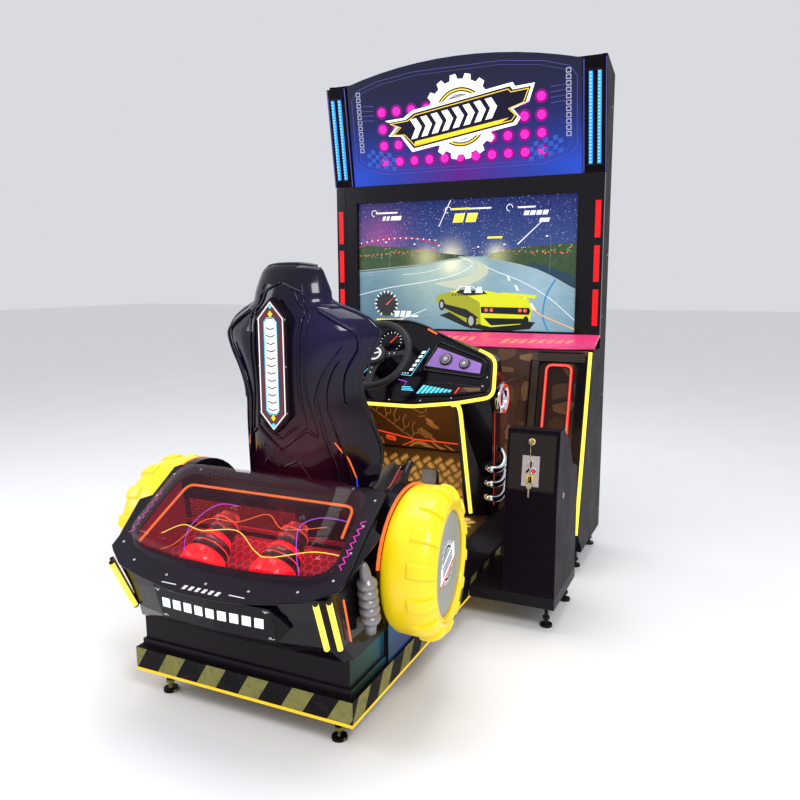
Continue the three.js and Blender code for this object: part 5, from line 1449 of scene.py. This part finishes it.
windows = [(rng.uniform(-590, 590), rng.uniform(3, 7), rng.uniform(1500, 1550)) for k in range(90)]
pic("pic_city", [rect(x, x + w, z, z + 3.5) for x, w, z in windows], 1.0, 1.2, "city")
for k, (x, z, tall) in enumerate(((-420, 1450, 130), (-250, 1470, 96), (-110, 1490, 66), (110, 1492, 52),
    (250, 1470, 84), (470, 1420, 170))):
    pic(f"pic_lamp_post_{k}", band([(x, z), (x + 3, z + tall), (x - 16, z + tall + 7)], 2.2), 1.8, 2.0,
        "barrier")
    pic(f"pic_lamp_{k}", [disc(x - 18, z + tall + 5, 6, 12, 3)], 2.1, 2.5, "lamp_w")
pic("pic_streaks", [[(300, 1560), (304, 1556), (424, 1664), (421, 1667)],
    [(-130, 1660), (-127, 1657), (-60, 1790), (-64, 1792)]], 1.0, 1.2, "hud")
# the car ahead: an open two-seater of the builder's own, seen from behind and to its left
CAR_X, CAR_Z, CAR_SCALE = 112, 1214, 1.38


def car(*points):
    return [(CAR_X + a * CAR_SCALE, CAR_Z + b * CAR_SCALE) for a, b in points]


def car_disc(a, b, *size):
    return disc(*car((a, b))[0], *size)


for part, polys, low, high, mat in (("shadow",
    [car((-170, -14), (-60, -58), (60, -74), (190, -60), (210, -34), (40, -30), (-110, 4))], 1.7, 1.9, "car_k"),
    ("side", [car((-186, 42), (-176, 62), (-130, 76), (-60, 66), (-6, 36), (0, -44), (-40, -52), (-90, -22),
    (-150, 10))], 2.0, 2.4, "car_d"), ("deck",
    [car((-130, 76), (-96, 84), (20, 80), (96, 66), (186, 48), (184, 40), (60, 44), (-6, 36), (-60, 66))], 2.5,
    2.7, "car_y"), ("tail", [car((-6, 36), (60, 44), (184, 40), (196, 10), (190, -30), (150, -44), (40, -56),
    (0, -48))], 2.5, 2.7, "car_y"), ("wing", [car((-4, 50), (90, 62), (208, 52), (214, 64), (90, 74), (-2, 60)),
    car((20, 40), (30, 40), (30, 54), (20, 54)), car((168, 40), (178, 40), (178, 54), (168, 54))], 2.9, 3.2,
    "car_y"), ("cabin", [car((-104, 74), (-84, 84), (8, 80), (24, 68), (-40, 62), (-70, 64)),
    car((-2, 20), (186, 18), (192, 6), (186, -8), (0, -4)), car((10, -22), (180, -22), (170, -40), (40, -50)),
    car((-160, 18), (-150, 30), (-60, 10), (-10, -22), (-40, -30), (-100, -8))], 2.8, 3.0, "car_k"),
    ("screen", band(car((-104, 75), (-86, 97), (-36, 97), (-18, 82)), 3)
    + [car((-70, 72), (-62, 96), (-44, 96), (-40, 72)), car((-24, 72), (-16, 94), (2, 94), (6, 72))], 3.1, 3.4,
    "hud"), ("wheels", [car_disc(-160, 26, 17, 18, 30), car_disc(-38, -34, 27, 20, 41),
    car_disc(175, -32, 15, 18, 27)], 3.1, 3.3, "car_k"),
    ("hubs", [car_disc(-161, 26, 9, 14, 18), car_disc(-40, -34, 15, 16, 25)], 3.4, 3.6, "kerb"),
    ("lights", [car_disc(a, 8, 9.5, 14) for a in (20, 41, 152, 171)], 3.1, 3.4, "lamp_r"),
    ("vents", [car((a, 60), (a + 4, 60), (a + 10, 70), (a + 6, 70)) for a in range(-120, -59, 12)], 3.1, 3.3,
    "car_k")):
    pic("pic_car_" + part, polys, low, high, mat)
pic("pic_trails", band(curve_pts([(60, 1216), (180, 1258), (330, 1262), (440, 1200), (600, 1136)]), 5), 1.7,
    1.95, "trail")
pic("pic_trail_blue", band(curve_pts([(470, 1121), (440, 1200), (455, 1300), (500, 1380)]), 8), 1.5, 1.65,
    "trail_b")
# readouts as plain bars and a dial, no lettering
def leaning(x0, x1, z0, z1):
    shift = (z1 - z0) * 0.3
    return [(x0, z0), (x1, z0), (x1 + shift, z1), (x0 + shift, z1)]


pic("hud_bars", [leaning(x, x + w, z, z + h) for x, w, z, h in (
    (-500, 130, 1736, 8), (-460, 16, 1700, 22), (-436, 16, 1700, 22), (-410, 60, 1700, 22), (40, 120, 1740, 8),
    (300, 90, 1736, 8), (330, 26, 1700, 22), (362, 26, 1700, 22), (394, 26, 1700, 22), (426, 26, 1700, 22),
    (410, 50, 1664, 20))], 1.3, 1.6, "hud")
arcs = [band(sector(x, z, [(16, pi / 8 * k) for k in range(13)]), 3.5)
    for x, z in ((-508, 1740), (-76, 1742), (258, 1740))]
pic("hud_rings", sum(arcs, []), 1.3, 1.6, "hud")
pic("hud_big", [leaning(-50, 6, 1676, 1722), leaning(20, 76, 1676, 1722), leaning(-60, 40, 1740, 1750),
    leaning(140, 220, 1590, 1600), leaning(60, 180, 1136, 1142)], 1.3, 1.6, "hud_y")
pic("hud_dial_face", [disc(-440, 1252, 66, 36)], 0.9, 1.2, "car_k")
pic("hud_dial", ticks(-440, 1252, 58, 72, 0.05, range(-60, 241, 20)), 1.3, 1.6, "hud")
pic("hud_dial_hand", [[(-444, 1248), (-436, 1246), (-392, 1288)]], 1.7, 2.0, "lamp_r")
pic("hud_speed", [leaning(-392 + 34 * k, -366 + 34 * k, 1182, 1214) for k in range(3)]
    + [leaning(-290, -250, 1182, 1192)], 1.3, 1.6, "hud")
pic("hud_meter", [rect(-500 + 15 * k, -489 + 15 * k, 1160, 1170) for k in range(11)], 1.3, 1.6, "hud_y")

# trim bands beside the screen with their red lamps, and bezel lines
for sd, tag in SIDES:
    beside = lambda u, v, w, sd=sd: D(sd * u, TRIM_Y - w, v)
    for k, (z0, z1) in enumerate(((1580, 1755), (1369, 1543), (1156, 1332))):
        plate(f"red_lamp_{tag}_{k}", rect(690, 717, z0, z1), beside, 0.3, 5, "L_red_deep", bevel=0.0015)
    plates("bezel_trim_" + tag, [rect(676, 679, 1114, 1880), rect(727, 730, 1114, 1880)], beside, 0.2, 2,
        "plate")
plates("bezel_inner", band([(-609, 1118), (-609, 1800), (609, 1800), (609, 1118)], 4), lambda u, v,
    w: D(u, TRIM_Y - w, v), 0.2, 2.2, "plate")
marks = [[(sd * (x + 46 * k), z) for x, z in ((260, 22 + 3 * k), (290, 22 + 3 * k), (312 - k, 78),
    (282 - k, 78))] for k in range(8) for sd in (-1, 1)]
marks += [[(x + 46 * k, z) for x, z in ((-150, 40), (-122, 40), (-110, 90), (-138, 90))] for k in range(6)]
LEDGE_RUN, LEDGE_RISE = 140 / 149.2, 51 / 149.2
on_ledge = lambda u, v, w: D(u, 1812 + v * LEDGE_RUN - w * LEDGE_RISE, 1060 + v * LEDGE_RISE + w * LEDGE_RUN)
plates("ledge_bars", marks, on_ledge, 0.5, 1.5, "pinkbar")
tube("ledge_edge", round_path([D(-729, 1868, 1053), D(-560, 1813, 1053), D(560, 1813, 1053),
    D(729, 1868, 1053)], 0.02, 3, False), 0.005, "pink")

# ---------------------------------------------------------------- marquee
ARCH, ARCH_TOP = 2461, 593           # radius and top of the marquee's arched edge
GEAR_X, GEAR_Q = 13, 308             # centre of the gear


def arch(x):
    return ARCH_TOP - ARCH + sqrt(ARCH ** 2 - x * x)


def mq(name, polys, low, high, mat):
    plates(name, polys, marq, low, high, mat)


edge = [marq(x, arch(x) - 3.6, 7.5) for x in [-616 + 1232 * k / 40 for k in range(41)]]
tube("marquee_edge", edge, 0.0035, "plate")
dots = [(85 * i, 118 + 83 * j) for i in range(-5, 7) for j in range(4)]
dots = [(x, q) for x, q in dots if q < arch(x) - 150 and abs(x) < 500 and not (abs(x) < 130 and q > 190)]
mq("mq_dots", [disc(x, q, 33, 24) for x, q in dots], 11.2, 11.9, "mq_dot")
mq("mq_dot_cores", [disc(x, q, 22, 20) for x, q in dots], 12.0, 12.6, "L_magenta")
border = [(430, 58), (560, 96), (596, 130), (596, 440), (560, 486), (440, 520), (230, 545)]
border = [(-430, 58)] + border + [(-x, q) for x, q in reversed(border[1:])]
mq("mq_border", band(border, 2.4, True), 11.2, 11.8, "mq_line")
mq("mq_border_in", band([(x * 0.955, 300 + (q - 300) * 0.93) for x, q in border], 1.6, True), 11.2, 11.8,
    "mq_line")
for sd, tag in SIDES:
    film = []
    for q in range(178, 459, 28):
        film += band(rect(*sorted((sd * 546, sd * 566)), q, q + 18), 4.5, True)
    mq("mq_film_" + tag, film, 11.9, 12.4, "mq_film")
    flag = [[(sd * (360 + 24 * i + dx), 70 + 22 * j + 5 * i + dq)
        for dx, dq in ((0, 0), (24, 5), (24, 27), (0, 22))] for i in range(7) for j in range(4) if (i + j) % 2 == 0]
    mq("mq_flag_" + tag, flag, 12.7, 13.3, "mq_blue")
    sparks = [[(sd * x, q + 24 * k) for x, q in ((470, 330), (560, 336), (560, 338), (470, 333))]
        for k in range(4)]
    mq("mq_spark_" + tag, sparks, 12.7, 13.2, "mq_line")
gear_ring = lambda *args: annulus(GEAR_X, GEAR_Q, *args)
mq("mq_gear", teeth(GEAR_X, GEAR_Q, 176, 203, 16, 0.72, 0.05) + gear_ring(140, 178, 48), 13.4, 14.2, "mq_white")
mq("mq_gear_dark", [disc(GEAR_X, GEAR_Q, 140, 48)], 13.4, 13.9, "mq_deep")
mq("mq_gear_arcs", gear_ring(126, 133, 48, 6, 22) + gear_ring(126, 133, 48, 30, 44), 14.0, 14.6, "mq_yellow")
mq("mq_gear_ring", gear_ring(108, 120, 48), 14.0, 14.6, "mq_silver")
mesh = []
for off in range(-99, 100, 11):
    half = sqrt(max(0, 106 ** 2 - off ** 2))
    mesh += band([(GEAR_X + off, GEAR_Q - half), (GEAR_X + off, GEAR_Q + half)], 5.4)
    mesh += band([(GEAR_X - half, GEAR_Q + off), (GEAR_X + half, GEAR_Q + off)], 5.4)
mq("mq_gear_mesh", mesh, 14.0, 14.4, "mq_grey")
# winged banner: white edge, dark field, yellow stripe and plain leaning stripes
WINGS = [(-392, 308), (-322, 292), (-262, 202), (300, 205), (322, 232), (286, 282), (366, 296), (396, 372),
    (300, 380), (286, 402), (-250, 402), (-300, 378), (-408, 388), (-344, 346)]


def tilted(*points):
    return [(x, q + (x - GEAR_X) * 0.15) for x, q in points]


def scaled(kx, kq):
    return tilted(*[(-10 + (x + 10) * kx, 302 + (q - 302) * kq) for x, q in WINGS])


mq("mq_banner_edge", [scaled(1, 1)], 15.0, 16.0, "mq_white")
mq("mq_banner_dark", [scaled(0.955, 0.85)], 16.1, 17.0, "mq_deep")
mq("mq_banner_line", band(scaled(0.925, 0.74), 4, True), 17.1, 17.6, "mq_yellow")
stripes = [tilted((x, 264), (x + 34, 264), (x + 62, 312), (x + 34, 360), (x, 360), (x + 28, 312))
    for x in range(-262, 145, 58)]
mq("mq_banner_marks", stripes, 17.7, 18.8, "mq_white")
mq("mq_banner_blade", [tilted((-250, 232), (210, 228), (264, 246), (-240, 250))], 17.7, 18.6, "mq_yellow")

for sd, tag in SIDES:
    for i, x in enumerate((sd * 662, sd * 702)):
        tube(f"post_light_{tag}_{i}", [marq(x, q, 27) for q in (42, 250, 450)], 0.009, "L_blue", sides=14)
        mq(f"post_beads_{tag}_{i}", [rect(x - 5, x + 5, q, q + 8) for q in range(48, 439, 15)], 33.5, 36.6,
            "L_bead")
    mq("post_clips_" + tag, [rect(sd * 682 - 38, sd * 682 + 38, q, q + 12) for q in (34, 448)], 22.2, 30,
        "plate")
    mq("post_trim_" + tag, [rect(sd * x - 2, sd * x + 2, 6, 505) for x in (732, 629)], 22.1, 23.4, "mq_line")

# ---------------------------------------------------------------- lower front
grille = []
r = 6.2
for i in range(24):
    for j in range(86):
        x, q = 446 + i * r * 1.82 + (r * 0.91 if j % 2 else 0), 70 + j * r * 1.58
        if (x < 478 and q < 800) or (470 <= x < 700 and 812 < q < 850):
            grille += band(hexagon(x, q, r), 1.5, True)
plates("grille_mesh", grille, lower, 12.3, 13.6, "rubber")
plates("grille_mesh_back", [rect(446, 478, 66, 806), rect(446, 700, 810, 850)], lower, 12.05, 12.25,
    "grille_back")
inner = [(484, 114), (664, 114), (664, 788), (648, 802), (504, 802), (484, 784)]
plates("grille_inner_line", band(inner, 2, True), lower, 6.2, 7.2, "plate")
plate("grille_inner_board", inner, lower, 6.1, 6.6, "browndim")
rope = round_path([lower(520, 150, 17), lower(640, 150, 17), lower(640, 792, 17), lower(520, 792, 17)], 0.03, 6)
tube("red_rope", rope, 0.0072, "L_red_deep", sides=12, closed=True)
beads, done, at = [], 0.0, 0.0
for a, b in zip(rope, rope[1:] + rope[:1]):
    length = (b - a).length
    while at <= done + length and length > 0:
        c = a.lerp(b, (at - done) / length)
        turn = [(cos(pi / 3 * k), sin(pi / 3 * k)) for k in range(6)]
        verts = [c + Vector((r * x, y, r * z)) for r, y in ((0.0045, -0.006), (0.003, -0.0078))
            for x, z in turn]
        beads.append((verts, [(k, (k + 1) % 6, 6 + (k + 1) % 6, 6 + k) for k in range(6)]
            + [tuple(range(6, 12))]))
        at += 0.0105
    done += length
make("red_rope_beads", *merge(beads), "L_red_pale")
for sd, tag in SIDES:
    tube("front_edge_led_" + tag, [lower(sd * 720, q, 5) for q in (2, 400, 860)], 0.0088, "L_yellow", sides=12)

# ---------------------------------------------------------------- coin box
LOCK_X, LOCK_Z = 660, 764
coin_out = coin(0, 0, 1) - coin(0, 0, 0)
plates("coin_frame_line", band([(571, 575), (571, 793), (752, 793), (752, 575)], 7, True), coin, 0.4, 2.6,
    "rubber")
screws("coin_plate_screws", [coin(x, z, 9) for x in (632, 688) for z in (599, 703)], coin_out, 0.0042,
    "coin_hatch")
plate("coin_slot_dark", rect(657, 663, 662, 690), coin, 8.6, 9.2, "rubber", "coin_hatch")
spin("coin_slot_ring", [(9, 20), (12.5, 18.5), (12.5, 15), (9, 14)], around(coin, 660, 676, ku=0.62), "chrome",
    "coin_hatch", n=36)
plate("coin_return_mouth", rect(649, 671, 607, 631), coin, -4, -2, "rubber", "coin_hatch")
plates("coin_return_guard", [[(645, 636), (675, 636), (672, 604), (668, 604), (666, 630), (654, 630),
    (652, 604), (648, 604)]], coin, 9.1, 12, "chrome", "coin_hatch")
spin("coin_button_ring", [(9, 9), (12, 9.4), (12, 12.5), (9, 13.5)], around(coin, 672, 652), "chrome",
    "coin_hatch", n=30)
plates("coin_plate_slash", [[(640, 646), (646, 642), (660, 660), (654, 664)]], coin, 9.1, 9.8, "rubber",
    "coin_hatch")
spin("lock_ring", [(9, 3), (11, 6), (11, 9.5), (9.6, 12), (9, 13)], around(coin, LOCK_X, LOCK_Z), "brass",
    "hatch_lock", n=30)
plate("lock_slot", rect(659.2, 660.8, 760, 768), coin, 10.6, 11.4, "rubber", "hatch_lock")
# key in the lock; its ring, chain, tag and a spare hang from the lock's axis on the door
plate("key_blade", rect(-1.2, 1.2, -4, 4), lambda u, v, w: coin(LOCK_X + u, LOCK_Z + v, w), 9.5, 20, "steel",
    "hatch_lock")
bow = [(8 * cos(pi * k / 10), 10 * sin(pi * k / 10)) for k in range(20)]
plates("key_bow", band(bow, 4, True), lambda u, v, w: coin(LOCK_X + w, LOCK_Z + v, 24 + u), -1.1, 1.1, "steel",
    "hatch_lock")
ring = [coin(LOCK_X + sin(0.3 * k), LOCK_Z - 12 + 13 * cos(2 * pi * k / 24), 26 + 3 * sin(2 * pi * k / 24))
    for k in range(24)]
tube("key_ring", ring, 0.0008, "steel", "coin_hatch", sides=6, closed=True)
tube("key_chain", [coin(LOCK_X, 738 - 14 * k, 24 - 0.4 * k) for k in range(10)], 0.0011, "brass", "coin_hatch",
    sides=6)
hanging = lambda u, v, w: coin(LOCK_X + u, 594 + v, 21 + w)
plate("key_tag", disc(0, 0, 11, 20, 11), hanging, 0, 1.6, "steel", "coin_hatch")
plate("key_spare", [(-3, -12), (3, -12), (2, -44), (-2, -40)], hanging, 0, 1.6, "steel", "coin_hatch")
spin("cam_lock", [(0, 3), (0.35, 8), (0.35, 10), (0, 12)], lambda h, u, v: D(767 + h, 1108 + u, 538 + v),
    "steel", n=30)
plates("coin_side_line", band([(1010, 575), (1345, 575)], 1.5), lambda u, v, w: D(767 + w, u, v), 0, 0.3,
    "black")

# ---------------------------------------------------------------- service side and under-wheel strips
def behind(u, v, w):
    return D(u, BACK_Y + w, v)


spin("rear_lock", [(0, 3), (4, 9), (4.6, 12), (0, 14)], lambda h, u, v: behind(-280 + u, 850 + v, 4.4 + h),
    "steel", "rear_hatch", n=30)
plates("rear_vents", [rect(-180, 180, z, z + 6) for z in range(1180, 1245, 16)], behind, 0.1, 1.0, "rubber",
    "rear_hatch")
plates("rear_panel_vents", [rect(-300, 300, z, z + 7) for z in range(1700, 1827, 18)], behind, 0.1, 1.0,
    "rubber")
heads = [behind(x, z, 0) for x in (-680, -340, 340, 680) for z in (140, 600, 1100, 1600, 2200)]
screws("rear_panel_screws", heads, (0, 1, 0), 0.006)
heads = [D(sd * 730, y, z) for sd in (-1, 1)
    for y, z in ((2090, 200), (2090, 800), (2090, 1500), (2090, 2200), (2010, 1940), (2010, 1200))]
screws("side_panel_screws", heads, (1, 0, 0), 0.005)
# colour-changing strip tucked under the wheel
for k, (y, mat) in enumerate(((330, "L_green"), (420, "L_cyan"), (510, "L_blue"))):
    for sd, tag in SIDES:
        plate(f"under_glow_{k}_{tag}", rect(y - 44, y + 44, 246, 256), lambda u, v, w,
            sd=sd: D(sd * (396 + w), u, v), 0.2, 3, mat)
